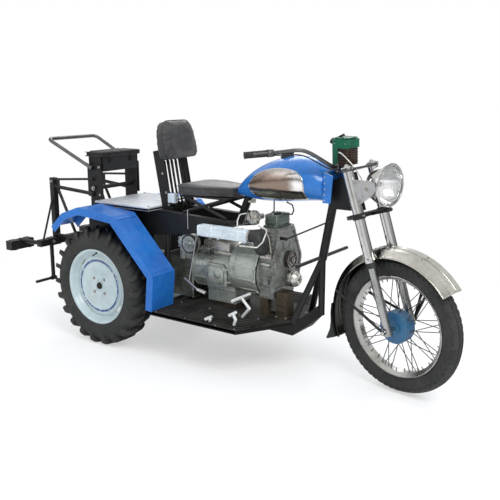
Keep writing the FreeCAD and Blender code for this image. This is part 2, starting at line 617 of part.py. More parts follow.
def footboard():
    body = doc.addObject("PartDesign::Body", "footboard")
    base = "rear_axle_x + "
    corners = [(base + "board_rear_x", "-board_half"), (base + "board_mid_x", "-board_half"),
               (base + "board_front_x", "-board_nose_half"), (base + "board_front_x", "board_nose_half"),
               (base + "board_mid_x", "board_half"), (base + "board_rear_x", "board_half")]
    sketch = outline(body, "footboard_outline", "XY_Plane", corners)
    pad = body.newObject("PartDesign::Pad", "footboard_pad")
    pad.Profile = sketch
    pad.Reversed = True
    pad.setExpression("Length", formula("board_thick"))
    body.setExpression(".Placement.Base.z", formula("board_top"))
    keep(body, "footboard")


def skid_plate():
    """The closed nose under the front of the footboard, drawn up to the frame's foot."""
    low = s.board_top - s.board_thick - s.seat_gap
    hip, toe = at(s.skid_rear_x, s.skid_rear_half, low), at(s.skid_low_x, s.skid_half, low)
    keel, tip = at(s.skid_low_x, s.skid_half, s.skid_low_z), at(s.skid_front_x, 0, s.skid_front_z)
    top = at(s.skid_front_x, 0, s.nose_top)
    across = Vector(1, -1, 1)
    far = [Vector(p.x * across.x, p.y * across.y, p.z) for p in (hip, toe, keel)]
    faces = [polygon(points) for points in (
        [hip, toe, keel], [toe, top, tip, keel], [far[0], far[1], far[2]], [far[1], top, tip, far[2]],
        [hip, toe, far[1], far[0]], [toe, top, far[1]], [hip, keel, far[2], far[0]], [keel, tip, far[2]])]
    nose = Part.makeSolid(Part.makeShell(faces))
    feature("skid_plate", nose)
    return nose


# Frame
def frame(nose):
    board_low = s.board_top - s.board_thick - s.seat_gap
    rail_z = board_low - s.rail_radius
    beam_top = s.deck_top - s.deck_thick - s.seat_gap
    pieces = []
    for way in (-1, 1):
        corners = [(s.beam_rear_x, beam_top), (s.deck_front_x, beam_top), (s.beam_front_x, s.beam_front_top),
                   (s.beam_front_x, s.beam_front_low), (s.beam_belly_x, s.beam_belly_low),
                   (s.beam_rear_x, s.beam_rear_low)]
        near = way * s.beam_half - s.beam_width / 2
        pieces.append(polygon([at(x, near, z) for x, z in corners]).extrude(Y * s.beam_width))
    middle_z = (s.beam_front_top + s.beam_front_low) / 2
    front_x = s.beam_front_x - s.tube_radius * 2
    pieces.append(rod(at(front_x, -s.beam_half, middle_z), at(front_x, s.beam_half, middle_z), s.tube_radius))
    post_reach = s.post_half - s.post_sheet
    pieces.append(rod(at(s.portal_x, -post_reach, s.beam_rear_low + 50),
                      at(s.portal_x, post_reach, s.beam_rear_low + 50), s.tube_radius))
    seat_top = at(s.spine_rear_x, 0, s.spine_rear_z)
    pieces.append(rod(at(front_x, 0, middle_z), seat_top, s.down_radius))
    axis = FORK_STRAIGHT
    head_low = axis.multVec(Vector(0, 0, s.yoke_low + s.yoke_thick + s.head_gap))
    head_high = axis.multVec(Vector(0, 0, s.yoke_high - s.head_gap))
    neck = axis.multVec(Vector(0, 0, s.yoke_low + s.yoke_thick + s.spine_drop))
    throat = at(s.gusset_x + 12, 0, s.gusset_low + 10)
    gusset = [head_high, at(s.gusset_x, 0, s.gusset_top), at(s.gusset_x, 0, s.gusset_low), head_low]
    gusset = polygon(gusset).extrude(Y * s.gusset_width)
    gusset.translate(Y * (-s.gusset_width / 2))
    split = at(s.split_x, 0, s.split_z)
    pieces += [rod(head_low, head_high, s.head_radius), rod(seat_top, neck, s.tube_radius),
               gusset, rod(throat, split, s.down_radius),
               rod(split, at(s.split_x, 0, s.skid_front_z), s.tube_radius)]
    rest = split + (throat - split) * s.rest_share
    pieces.append(rod(rest - Y * s.rest_half, rest + Y * s.rest_half, s.rest_radius))
    for way in (-1, 1):
        rail_foot = at(s.upright_x, way * s.rail_half, rail_z)
        axle_arm = at(0, way * s.axle_arm_half, s.rear_tyre_radius)
        pieces.append(rod(split, at(s.cradle_x, way * s.cradle_half, s.cradle_z), s.tube_radius))
        pieces.append(rod(at(s.rail_front_x, way * s.rail_front_half, rail_z), rail_foot, s.rail_radius))
        pieces.append(rod(rail_foot, axle_arm, s.rail_radius))
        pieces.append(rod(rail_foot, at(s.upright_x, way * s.beam_half, s.beam_belly_low + 20),
                          s.rail_radius))
        pieces.append(rod(axle_arm, at(-30, way * s.beam_half, s.beam_rear_low + 20), s.rail_radius))
    for x, half in ((s.upright_x, s.rail_half), (s.rail_front_x, s.rail_front_half)):
        pieces.append(rod(at(x, -half, rail_z), at(x, half, rail_z), s.rail_radius))
    bore = rod(axis.multVec(Vector(0, 0, s.yoke_low)), axis.multVec(Vector(0, 0, s.yoke_high + 40)),
               s.stem_radius + s.running_gap)
    axle_hole = rod(at(0, -s.rear_wheel_y, s.rear_tyre_radius), at(0, s.rear_wheel_y, s.rear_tyre_radius),
                    s.axle_tube_radius)
    diff_hole = rod(at(0, -s.diff_width / 2, s.rear_tyre_radius), at(0, s.diff_width / 2, s.rear_tyre_radius),
                    s.diff_radius)
    board = Part.makeBox(s.board_front_x - s.board_rear_x, 2 * s.board_half, s.board_thick + 2 * s.seat_gap,
                         at(s.board_rear_x, -s.board_half, board_low))
    whole = joined(pieces).cut([bore, axle_hole, diff_hole, board, nose])
    feature("main_frame", max(whole.Solids, key=lambda solid: solid.Volume))


# Rear portal and tool box
def portal():
    posts = []
    foot = "beam_rear_low + 20"
    for way, low in (("right", "-post_half"), ("left", "post_half - post_sheet")):
        posts.append(block("post_" + way, "portal_x - post_width / 2", low, foot, "post_width",
                           "post_sheet", "post_top - (" + foot + ")"))
    pin_half = "post_half + clear_side + rocker_sheet + 10"
    pins = drum("portal_pins", "portal_x", "-(" + pin_half + ")", "pivot_z", "pin_radius",
                "2 * (" + pin_half + ")",
                ALONG_Y)
    fused("rear_portal", posts + [pins])


def toolbox():
    side = s.post_half - s.post_sheet - s.seat_gap
    rear, front = s.portal_x - s.box_depth / 2, s.portal_x + s.box_depth / 2
    outer = Part.makeBox(s.box_depth, 2 * side, s.box_top - s.box_bottom, at(rear, -side, s.box_bottom))
    hollow = Part.makeBox(s.box_depth - 2 * s.box_wall, 2 * (side - s.box_wall), s.box_top,
                          at(rear + s.box_wall, -side + s.box_wall, s.box_bottom + s.box_wall))
    hinge = at(rear - s.hinge_radius - 2, 0, s.box_top + 2)
    lugs = []
    for way in (-1, 1):
        start = hinge + Y * way * (s.hinge_half + s.seat_gap)
        lugs.append(rod(start, start + Y * way * 14, s.hinge_radius))
        lugs.append(Part.makeBox(s.hinge_radius + 3, 14, 10,
                                 start + Vector(0, 0 if way > 0 else -14, -12)))
        lugs.append(rod(start - Y * way * 20, start, s.hinge_pin))
    feature("toolbox", joined([outer.cut(hollow)] + lugs))
    half = s.post_half + s.lid_lip
    lid_low = s.box_top + s.seat_gap
    plate = Part.makeBox(s.box_depth + s.lid_lip - 1, 2 * half, s.sheet, at(rear + 1, -half, lid_low))
    leaf = Part.makeBox(s.hinge_radius + 4, 2 * s.hinge_half, s.sheet,
                        at(rear - s.hinge_radius - 2, -s.hinge_half, lid_low))
    skirts = [Part.makeBox(s.sheet, 2 * half, s.lid_height,
                           at(front + s.lid_lip - s.sheet, -half, lid_low + s.sheet - s.lid_height))]
    for low in (-half, half - s.sheet):
        skirts.append(Part.makeBox(s.box_depth + s.lid_lip - 1, s.sheet, s.lid_height,
                                   at(rear + 1, low, lid_low + s.sheet - s.lid_height)))
    barrel = rod(hinge - Y * s.hinge_half, hinge + Y * s.hinge_half, s.hinge_radius)
    core = rod(hinge - Y * (s.hinge_half + 1), hinge + Y * (s.hinge_half + 1), s.hinge_pin + s.running_gap)
    feature("toolbox_lid", joined([plate, leaf, barrel] + skirts).cut(core))


# Tool lift
def lift():
    inner = s.post_half + s.clear_side
    arm_y = inner + s.arm_radius
    pieces = []
    for way in (-1, 1):
        near = inner if way > 0 else -inner - s.rocker_sheet
        side = way * s.mast_half
        pieces.append(Part.makeBox(s.rocker_width, s.rocker_sheet, s.rocker_top - s.rocker_low,
                                   at(s.portal_x - s.rocker_width / 2, near, s.rocker_low)))
        pieces.append(rod(at(s.portal_x, way * arm_y, s.arm_low_z), at(s.mast_x, side, s.mast_top - 50),
                          s.arm_radius))
        pieces.append(rod(at(s.portal_x, way * arm_y, s.arm_top_z), at(s.mast_x, side, s.mast_top - 8),
                          s.stay_radius))
        pieces.append(Part.makeBox(s.mast_width, s.mast_width, s.mast_top - s.mast_low,
                                   at(s.mast_x - s.mast_width / 2, side - s.mast_width / 2, s.mast_low)))
        foot = at(s.leg_foot_x, side, s.leg_foot_z)
        pieces.append(Part.makeBox(s.leg_head_x - s.mast_x + s.leg_radius, s.ear_sheet * 2,
                                   s.mast_top - s.leg_head_z,
                                   at(s.mast_x, side - s.ear_sheet, s.leg_head_z)))
        pieces.append(rod(at(s.leg_head_x, side, s.leg_head_z), foot, s.leg_radius))
        pieces.append(rod(foot, at(s.mast_x, side, s.leg_foot_z), s.leg_radius))
        pieces.append(rod(at(s.mast_x, side, s.leg_head_z), at(s.mast_x, way * s.rod_foot_y, s.tool_bar_z),
                          s.rod_radius))
    pieces.append(Part.makeBox(s.tool_bar_side, 2 * s.tool_bar_half, s.tool_bar_side,
                               at(s.mast_x - s.tool_bar_side / 2, -s.tool_bar_half,
                                  s.tool_bar_z - s.tool_bar_side / 2)))
    bore = rod(at(s.portal_x, -s.tool_bar_half, s.pivot_z), at(s.portal_x, s.tool_bar_half, s.pivot_z),
               s.pin_radius + s.running_gap)
    feature("lift_frame", joined(pieces).cut(bore))
    handle_y = inner + s.rocker_sheet + s.seat_gap + s.handle_radius
    half = bent_rod([at(s.portal_x, handle_y, s.handle_root_z), at(s.handle_x, s.handle_half, s.handle_z),
                     at(s.handle_x, 0, s.handle_z)], s.handle_radius, 30)
    feature("lift_handle", joined([half, mirrored(half)]))
    stub_z = s.tool_bar_z - s.stub_drop
    carriers = []
    for way in (-1, 1):
        middle = way * (s.tool_bar_half - s.carrier_inset)
        box = Part.makeBox(s.carrier_side, s.carrier_length, s.carrier_side,
                           at(s.carrier_x - s.carrier_side / 2, middle - s.carrier_length / 2,
                              s.carrier_z - s.carrier_side / 2))
        stub = rod(at(s.mast_x - s.tool_bar_side / 2 - s.seat_gap, middle, stub_z),
                   at(s.carrier_x, middle, stub_z),
                   s.stub_radius)
        carriers.append(joined([box, stub]))
    feature("tool_carriers", Part.makeCompound(carriers))
    shanks = []
    for way in (-1, 1):
        top = at(s.mast_x, way * s.shank_y, s.tool_bar_z - s.tool_bar_side / 2 - s.seat_gap)
        foot = at(s.mast_x, way * s.shank_y, s.shank_low)
        barrel = s.shank_radius + s.collar
        shanks.append(joined([rod(top, foot, s.shank_radius),
                              rod(foot - Y * way * barrel, foot + Y * way * barrel, barrel),
                              rod(foot - Y * way * s.peg_heel, foot + Y * way * (s.peg_length - s.peg_heel),
                                  s.peg_radius)]))
    feature("tool_shanks", Part.makeCompound(shanks))


# Seat
def beam_top_at(x):
    """The height of the frame's beams under the seat."""
    rear_top = s.deck_top - s.deck_thick - s.seat_gap
    share = (x - s.deck_front_x) / (s.beam_front_x - s.deck_front_x)
    return rear_top + share * (s.beam_front_top - rear_top)


def seat():
    body = doc.addObject("PartDesign::Body", "seat_cushion")
    base = "rear_axle_x + "
    corners = [(base + "cushion_rear_x", "-cushion_half"), (base + "cushion_taper_x", "-cushion_half"),
               (base + "cushion_front_x", "-cushion_nose_half"),
               (base + "cushion_front_x", "cushion_nose_half"),
               (base + "cushion_taper_x", "cushion_half"), (base + "cushion_rear_x", "cushion_half")]
    pad = body.newObject("PartDesign::Pad", "seat_cushion_pad")
    pad.Profile = outline(body, "seat_cushion_outline", "XY_Plane", corners)
    pad.setExpression("Length", formula("cushion_thick"))
    body.setExpression(".Placement.Base.z", formula("cushion_low"))
    keep(body, "seat_cushion")
    lean = FreeCAD.Placement(at(s.back_x, 0, s.back_low), FreeCAD.Rotation(Y, -s.back_lean))
    height = s.back_top - s.back_low
    front = [(-0.9, 0), (0.9, 0), (1, 0.2), (0.94, 0.72), (0.72, 1), (-0.72, 1), (-0.94, 0.72), (-1, 0.2)]
    cushion = polygon([Vector(-s.back_thick / 2, y * s.back_half, z * height) for y, z in front])
    feature("backrest_cushion", cushion.extrude(X * s.back_thick), lean)
    beam_top = s.deck_top - s.deck_thick
    drop = s.back_low - beam_top + s.back_plate_rise
    face = -s.back_thick / 2 - s.seat_gap
    plates = [Part.makeBox(s.back_plate_width, s.back_plate_sheet, drop + s.back_plate_rise,
                           Vector(face - s.back_plate_width, way * s.back_plate_half - s.back_plate_sheet / 2,
                                  -drop))
              for way in (-1, 1)]
    pitch = 2 * s.back_plate_half / (s.slat_count + 1)
    for count in range(int(s.slat_count)):
        middle = -s.back_plate_half + pitch * (count + 1)
        plates.append(Part.makeBox(s.back_plate_sheet, s.slat_width, drop + s.back_plate_sheet,
                                   Vector(face - s.back_plate_sheet, middle - s.slat_width / 2, -drop)))
    plates.append(Part.makeBox(s.back_plate_sheet, 2 * s.back_plate_half, s.back_band,
                               Vector(face - s.back_plate_sheet, -s.back_plate_half, 0)))
    plates.append(Part.makeBox(s.back_plate_width, 2 * s.back_plate_half, s.back_plate_sheet,
                               Vector(face - s.back_plate_width, -s.back_plate_half,
                                      beam_top + s.back_band - s.back_low)))
    above = Part.makeBox(s.wheelbase, s.wheelbase, s.wheelbase, at(0, -s.wheelbase / 2, beam_top))
    frame_shape = joined(plates)
    frame_shape.Placement = lean
    feature("backrest_frame", frame_shape.common(above))
    bars = []
    plate_low = s.cushion_low - s.pan_sheet - s.seat_gap
    for way in (-1, 1):
        side = way * s.beam_half
        lows = [at(x, side, beam_top_at(x) + s.scissor_radius + s.seat_gap)
                for x in (s.pan_rear_x + s.scissor_radius, s.pan_front_x - s.scissor_radius)]
        highs = [at(x, side, plate_low) for x in (s.pan_rear_x + s.scissor_radius,
                                                  s.pan_front_x - s.scissor_radius)]
        bars += [rod(lows[0], highs[1], s.scissor_radius), rod(lows[1], highs[0], s.scissor_radius)]
        bars += [Part.makeSphere(s.scissor_radius, end) for end in lows]
    bars.append(Part.makeBox(s.pan_front_x - s.pan_rear_x, 2 * s.pan_half, s.pan_sheet,
                             at(s.pan_rear_x, -s.pan_half, plate_low)))
    feature("seat_carrier", joined(bars))


# Tank
def tank():
    half = s.tank_half
    length = s.tank_front_x - s.tank_rear_x
    height = s.tank_top - s.tank_bottom
    sections = []
    for share, wide, top, low in ((0.0, 0.42, 0.32, 0.05), (0.18, 0.74, 0.66, 0.0), (0.45, 0.96, 0.92, 0.0),
                                  (0.72, 1.0, 1.0, 0.06), (1.0, 0.66, 0.75, 0.1)):
        x = s.tank_rear_x + share * length
        z0, z1 = s.tank_bottom + low * height, s.tank_bottom + top * height
        across, upright = half * wide, (z1 - z0) / 2
        ring = Part.Ellipse(Vector(), max(across, upright), min(across, upright)).toShape()
        turn = FreeCAD.Rotation(Y, 90) if across < upright else FreeCAD.Rotation(Z, 90) * FreeCAD.Rotation(X,
                                                                                                           90)
        ring.Placement = FreeCAD.Placement(at(x, 0, (z0 + z1) / 2), turn)
        sections.append(Part.Wire(ring))
    neck = FORK_STRAIGHT.multVec(Vector(0, 0, s.yoke_low + s.yoke_thick + s.spine_drop))
    start = at(s.spine_rear_x, 0, s.spine_rear_z)
    room = s.down_radius + s.seat_gap
    lower = Z * (s.tank_bottom - s.tank_top) / 2
    behind = start - (neck - start) * 0.2
    roof = Z * (s.tube_radius + 2 * s.seat_gap)
    tunnel = polygon([behind + lower, behind + roof, neck + roof, neck + lower])
    tunnel.translate(Y * -room)
    shell = Part.makeLoft(sections, True).cut(tunnel.extrude(Y * 2 * room))
    feature("fuel_tank", shell)
    cap = rod(at(s.cap_x, 0, s.tank_top - 60), at(s.cap_x, 0, s.tank_top + s.cap_height), s.cap_radius)
    feature("tank_cap", cap.cut(shell))


def neck_cover():
    """Two blue cheeks that close the tank's front around the frame's neck."""
    front = s.tank_front_x + s.seat_gap
    outline = [at(front, 0, s.cheek_low), at(s.cheek_front_x, 0, s.cheek_low),
               at(s.cheek_top_x, 0, s.cheek_top_low),
               at(front, 0, s.cheek_top)]
    cheek = polygon(outline).extrude(Y * s.cheek_sheet)
    cheek.translate(Y * (s.cheek_half - s.cheek_sheet))
    start = s.gusset_width / 2 + s.clear_side
    web = Part.makeBox(s.cheek_sheet, s.cheek_half - start, s.cheek_top - s.cheek_low,
                       at(front, start, s.cheek_low))
    panel = joined([cheek, web])
    feature("neck_cover", Part.makeCompound([panel, mirrored(panel)]))


# Engine and drive line
def engine():
    length = "engine_front_x - engine_rear_x"
    items = [block("engine_core", "engine_rear_x", "-engine_half", "engine_bottom", length, "2 * engine_half",
                   "engine_top - engine_bottom"),
             block("engine_sump", "engine_rear_x + rocker_inset", "-sump_half", "sump_bottom", "sump_length",
                   "2 * sump_half",
                   "engine_bottom - sump_bottom"),
             block("rocker_cover", "engine_rear_x + rocker_inset", "-rocker_half", "engine_top",
                   length + " - 2 * rocker_inset",
                   "2 * rocker_half", "rocker_rise")]
    for count in range(int(s.rib_count)):
        items.append(block("side_rib_%d" % count, "engine_rear_x + rocker_inset", "-engine_half - rib_depth",
                           "engine_bottom + %d * (engine_top - engine_bottom) / (rib_count + 1)" % (count
                                                                                                    + 1),
                           length + " - 2 * rocker_inset", "rib_depth", "rib_thick"))
    fused("engine_block", items)
    start = s.engine_front_x + s.seat_gap
    side = [(s.cover_top_half, s.engine_top), (s.cover_knee_half, s.cover_knee),
            (s.cover_low_half, s.cover_low),
            (-s.cover_low_half, s.cover_low), (-s.engine_half, s.cover_knee),
            (-s.cover_top_half, s.engine_top)]
    feature("timing_cover", polygon([at(start, y, z) for y, z in side]).extrude(X * s.cover_sheet))
    pulley = drum("pulley_disc", "pulley_x", "0", "pulley_z", "pulley_radius", "pulley_width", ALONG_X)
    shaft = drum("pulley_shaft", "engine_front_x + cover_sheet + 2 * seat_gap", "0", "pulley_z",
                 "stem_radius",
                 "pulley_x - engine_front_x - cover_sheet", ALONG_X)
    fused("crank_pulley", [shaft, pulley])
    bell = drum("bell_drum", "bell_rear_x", "0", "bell_z", "bell_radius", "engine_rear_x - bell_rear_x",
                ALONG_X)
    box = drum("gearbox_drum", "gearbox_rear_x", "0", "gearbox_z", "gearbox_radius",
               "bell_rear_x - gearbox_rear_x",
               ALONG_X)
    pan = block("gearbox_pan", "box_pan_x", "-pan_side", "pan_low", "box_pan_length", "2 * pan_side",
                "gearbox_z - pan_low")
    fused("gearbox", [bell, box, pan])
    transfer = block("transfer_core", "transfer_rear_x", "-transfer_half", "transfer_bottom",
                     "gearbox_rear_x - transfer_rear_x", "2 * transfer_half",
                     "transfer_top - transfer_bottom")
    fused("transfer_case", [transfer])
    wheel = drum("belt_disc", "belt_drum_x", "belt_drum_y - belt_drum_width / 2", "belt_drum_z",
                 "belt_drum_radius",
                 "belt_drum_width", ALONG_Y)
    neck = block("belt_neck", "belt_drum_x - belt_neck_width",
                 "belt_drum_y + belt_drum_width / 2 - belt_neck_thick",
                 "transfer_top + seat_gap", "belt_neck_width", "belt_neck_thick",
                 "belt_drum_z - transfer_top")
    fused("belt_drum", [wheel, neck])
    side_plate("silencer", [("silencer_rear_x", "silencer_z - silencer_height * 0.42"),
                            ("silencer_front_x", "silencer_z - silencer_height / 2"),
                            ("silencer_front_x", "silencer_z + silencer_height * 0.46"),
                            ("silencer_rear_x", "silencer_z + silencer_height / 2")], "silencer_width",
               "silencer_y")
    nose = drum("fan_drum", "fan_x", "fan_y", "fan_z", "fan_radius", "fan_length", ALONG_X)
    stub = drum("fan_stub", "engine_front_x + cover_sheet + 2 * seat_gap", "fan_y", "fan_z", "stem_radius",
                "fan_x - engine_front_x - cover_sheet", ALONG_X)
    fused("alternator", [nose, stub])
    bowl = drum("carburettor_bowl", "carb_x", "carb_y", "carb_z - carb_height / 2", "carb_radius",
                "carb_height")
    throat = drum("carburettor_throat", "carb_x", "carb_y + carb_reach", "carb_z", "carb_throat",
                  "engine_rear_x + rocker_inset - seat_gap - carb_x", ALONG_X)
    arm = drum("carburettor_arm", "carb_x", "carb_y", "carb_z", "carb_throat", "carb_reach", ALONG_Y)
    fused("carburettor", [bowl, throat, arm])
    elbow = [at(s.silencer_front_x + s.seat_gap, s.silencer_y, s.silencer_z),
             at(s.elbow_forward, s.silencer_y, s.silencer_z),
             at(s.elbow_forward, s.silencer_y, s.silencer_z - s.elbow_drop),
             at(s.elbow_forward, -s.engine_half - s.rib_depth - s.seat_gap, s.silencer_z - s.elbow_drop)]
    feature("intake_elbow", bent_rod(elbow, s.elbow_radius, s.elbow_bend))


def engine_mounts():
    floor = "board_top + seat_gap"
    items = [block("mount_front_" + way, "engine_rear_x", low, floor, "mount_width", "mount_thick",
                   "engine_bottom - board_top - 2 * seat_gap")
             for way, low in (("right", "-sump_half - mount_thick - mount_spread"),
                              ("left", "sump_half + mount_spread"))]
    items.append(block("mount_rear", "cross_mount_x", "-cross_mount_half", floor, "cross_mount_length",
                       "2 * cross_mount_half", "pan_low - board_top - 2 * seat_gap"))
    items.append(block("mount_nose", "engine_front_x + cover_sheet + 2 * seat_gap", "nose_mount_right", floor,
                       "nose_mount_length", "nose_mount_width", "nose_mount_height"))
    fused("engine_mounts", items)


def pedals():
    floor = s.board_top + s.pedal_radius + s.seat_gap
    shapes = []
    for pad, half, knee in ((at(s.brake_x, s.brake_y, s.brake_z), s.brake_half, s.brake_knee),
                            (at(s.clutch_x, s.clutch_y, s.clutch_z), s.clutch_half, s.clutch_knee),
                            (at(s.shift_x, s.shift_y, s.shift_z), s.shift_half, s.shift_knee)):
        foot = Vector(pad.x + s.pedal_radius, pad.y, floor)
        bend = Vector(pad.x + knee, pad.y, (pad.z + floor) / 2)
        shapes.append(joined([rod(pad - Y * half, pad + Y * half, s.pedal_radius),
                              rod(pad, bend, s.pedal_radius),
                              rod(bend, foot, s.pedal_radius), Part.makeSphere(s.pedal_radius, bend),
                              Part.makeSphere(s.pedal_radius, foot)]))
    feature("pedals", Part.makeCompound(shapes))


def hoses():
    """Fuel hoses under the tank, breather hoses at the silencer and the rods of the hand controls."""
    bend = s.hose_bend
    fuel = [bent_rod(route(name), s.hose_radius, bend / 2) for name in ("fuel_tap", "fuel_return")]
    feature("fuel_hoses", Part.makeCompound(fuel))
    breather = [bent_rod(route(name), s.hose_radius, bend) for name in ("breather_top", "breather_side")]
    feature("breather_hoses", Part.makeCompound(breather))
    clutch, link, lever = route("clutch_rod"), route("shift_link"), route("shift_lever")
    shift = joined([rod(*link, s.hose_radius), rod(lever[0], lever[1], s.rod_radius),
                    rod(lever[1], lever[2], s.rod_knob)])
    feature("control_rods", Part.makeCompound([rod(*clutch, s.hose_radius), shift]))


def bar_controls():
    """Hand levers with their perches, the cables along the bars, and the mudguard's stays."""
    half = bar_points()
    toward = (half[3] - half[2]).normalize()
    ahead = toward.cross(Z).normalize()
    perch = half[3] - toward * (s.grip_length + s.perch_gap + s.perch_width)
    collar = rod(perch, perch + toward * s.perch_width, s.bar_radius + s.perch_wall).cut(
        rod(perch - toward, perch + toward * (s.perch_width + 1), s.bar_radius + s.running_gap))
    middle = perch + toward * s.perch_width / 2
    pivot = middle + ahead * s.lever_reach
    arm = rod(middle + ahead * (s.bar_radius + s.perch_wall / 2), pivot, s.perch_width / 3)
    tip = half[3] + ahead * (s.lever_reach + s.lever_knob) - toward * s.lever_short
    ends = [Part.makeSphere(s.lever_knob, point) for point in (pivot, tip)]
    side = joined([collar, arm, rod(pivot, tip, s.lever_radius)] + ends)
    feature("hand_levers", Part.makeCompound([side, mirrored(side)]), BARS)
    cable = [pivot - toward * (s.lever_knob + s.seat_gap), pivot - toward * s.cable_lead + Z * s.cable_lift]
    cable += [Vector(*point) for point in BAR_CABLE]
    line = bent_rod(cable, s.hose_radius, s.hose_bend)
    feature("bar_cables", Part.makeCompound([line, mirrored(line)]), BARS)


def mudguard_stays():
    """Stays from the front axle's ends to the mudguard's skirts, one near and three far."""
    skirt = s.guard_width / 2 + s.stay_radius + s.seat_gap
    reach = s.guard_radius - s.guard_drop + s.stay_radius
    foot = s.fork_half + s.slider_radius + s.stay_radius
    stays = []
    for way, turns in ((-1, (s.stay_rear,)), (1, (s.stay_rear, s.stay_front, s.stay_middle))):
        eye = Vector(s.fork_offset, way * (foot + s.stay_eye / 2), 0)
        rods = []
        for turn in turns:
            angle = math.radians(turn)
            rods.append(rod(eye, Vector(eye.x + reach * math.cos(angle), way * skirt,
                                        reach * math.sin(angle)),
                            s.stay_radius))
        solid = joined(rods + [rod(eye - Y * s.stay_eye / 2, eye + Y * s.stay_eye / 2, s.stay_eye)])
        stays.append(solid.cut(rod(eye - Y * s.stay_eye, eye + Y * s.stay_eye,
                                   s.front_axle_radius + s.running_gap)))
    feature("mudguard_stays", Part.makeCompound(stays), FORK)


def build():
    for side in ("right", "left"):
        rear_tyre(side)
        rear_wheel(side)
        fender(side)
    rear_axle()
    front_tyre()
    front_wheel()
    fork()
    yokes()
    handlebar()
    headlamp()
    mudguard()
    control_box()
    deck()
    footboard()
    frame(skid_plate())
    portal()
    toolbox()
    lift()
    seat()
    tank()
    neck_cover()
    engine()
    engine_mounts()
    pedals()
    hoses()
    bar_controls()
    mudguard_stays()


def check_and_write():
    """Stop on a failed object, then write one STEP file for each piece."""
    doc.recompute()
    for item in doc.Objects:
        if "Invalid" in item.State or "Error" in item.State:
            raise RuntimeError("%s did not build: %s" % (item.Label, item.State))
    os.makedirs("parts", exist_ok=True)
    for item in parts:
        if item.Shape.isNull() or not item.Shape.isValid():
            raise RuntimeError("%s has no valid shape" % item.Label)
        item.Shape.exportStep("parts/%s.step" % item.Label)
        print("%-20s %2d solids %12.0f mm3" % (item.Label, len(item.Shape.Solids), item.Shape.Volume))


build()
check_and_write()
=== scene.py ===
import json
import math

import bpy
from mathutils import Matrix, Vector


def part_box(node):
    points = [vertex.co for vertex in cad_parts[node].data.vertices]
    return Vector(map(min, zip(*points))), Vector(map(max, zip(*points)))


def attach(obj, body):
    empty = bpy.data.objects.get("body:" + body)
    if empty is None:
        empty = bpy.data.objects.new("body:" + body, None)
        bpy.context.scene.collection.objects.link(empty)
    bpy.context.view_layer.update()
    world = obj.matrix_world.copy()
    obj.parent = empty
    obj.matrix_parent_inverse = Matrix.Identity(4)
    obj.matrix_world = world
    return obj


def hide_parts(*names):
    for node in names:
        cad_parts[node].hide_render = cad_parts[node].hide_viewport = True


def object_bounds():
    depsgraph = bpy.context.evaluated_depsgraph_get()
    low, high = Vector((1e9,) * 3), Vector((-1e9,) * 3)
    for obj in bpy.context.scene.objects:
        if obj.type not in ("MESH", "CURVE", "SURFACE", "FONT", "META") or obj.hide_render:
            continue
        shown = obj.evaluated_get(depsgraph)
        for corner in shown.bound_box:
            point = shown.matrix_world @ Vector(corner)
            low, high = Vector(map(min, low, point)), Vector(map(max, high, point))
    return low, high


# A home-built three-wheeled mini tractor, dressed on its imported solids.
# Metres. +X forward, +Y the driver's left, +Z up.

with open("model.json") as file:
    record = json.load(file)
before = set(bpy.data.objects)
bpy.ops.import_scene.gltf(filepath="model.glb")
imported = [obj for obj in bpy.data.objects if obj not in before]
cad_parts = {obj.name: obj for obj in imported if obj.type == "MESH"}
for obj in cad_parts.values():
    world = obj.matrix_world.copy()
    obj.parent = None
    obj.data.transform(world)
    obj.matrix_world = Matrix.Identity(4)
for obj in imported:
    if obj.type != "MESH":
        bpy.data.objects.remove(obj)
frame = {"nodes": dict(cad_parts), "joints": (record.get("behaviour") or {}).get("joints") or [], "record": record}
cadLow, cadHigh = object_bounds()
nodes = frame["nodes"]
print("frame loaded:", len(nodes), "nodes")


def middleOf(node):
    low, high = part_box(node)
    return (low + high) / 2


def jointNamed(name):
    return next(joint for joint in frame["joints"] if joint["name"] == name)


rearHub = {"right": middleOf("rear_tyre_right"), "left": middleOf("rear_tyre_left")}
frontHub = Vector(jointNamed("front_wheel_spin")["pos_m"])
steerFoot = Vector(jointNamed("steering")["pos_m"])
steerUp = Vector(jointNamed("steering")["axis"]).normalized()
steerLeft = Vector(jointNamed("front_wheel_spin")["axis"]).normalized()
steerAhead = steerLeft.cross(steerUp)
forward, leftward, upward = Vector((1, 0, 0)), Vector((0, 1, 0)), Vector((0, 0, 1))


def ahead(x, y, z):
    return Vector((rearHub["right"].x + x, y, z))


def onFork(x, y, z):
    return steerFoot + steerAhead * x + steerLeft * y + steerUp * z


bodyOf = {node: body for body, names in frame["record"]["behaviour"]["bodies"].items() for node in names}


def taken(settings, names):
    return [settings[name] for name in names.split()]


def put(tree, kind, inputs=None, **settings):
    node = tree.nodes.new(kind)
    for name, value in settings.items():
        setattr(node, name, value)
    for name, value in (inputs or {}).items():
        socket = node.inputs[name]
        if isinstance(value, bpy.types.NodeSocket):
            tree.links.new(value, socket)
        else:
            socket.default_value = value
    return node


# camera, floor and soft light

studio = {
    "cameraPlace": (2.352, -3.129, 1.453),
    "cameraYaw": 124.7,
    "cameraPitch": -12.7,
    "lens": 51.84,
    "floorColour": (0.95, 0.95, 0.95, 1),
    "floorFadeFrom": 1.2, "floorFadeTo": 3.0, "floorLift": 0.5, "floorShine": 0.3,
    "skyForObject": (0.4, 0.98), "skyColour": (0.93, 0.96, 1, 1), "softboxEdge": (0.76, 0.96),
    "ceilingEdge": (0.1, 0.42), "softboxToward": (0.6, -0.8, 0.0), "darkWall": 0.13,
    "keyPlace": (4.4, -2.4, 5.2), "keySize": 3.0, "keyPower": 250,
    "fillPlace": (-3.4, -4.4, 3.0), "fillSize": 3.5, "fillPower": 40,
    "rimPlace": (-2.2, 4.2, 4.2), "rimSize": 3.0, "rimPower": 110,
}


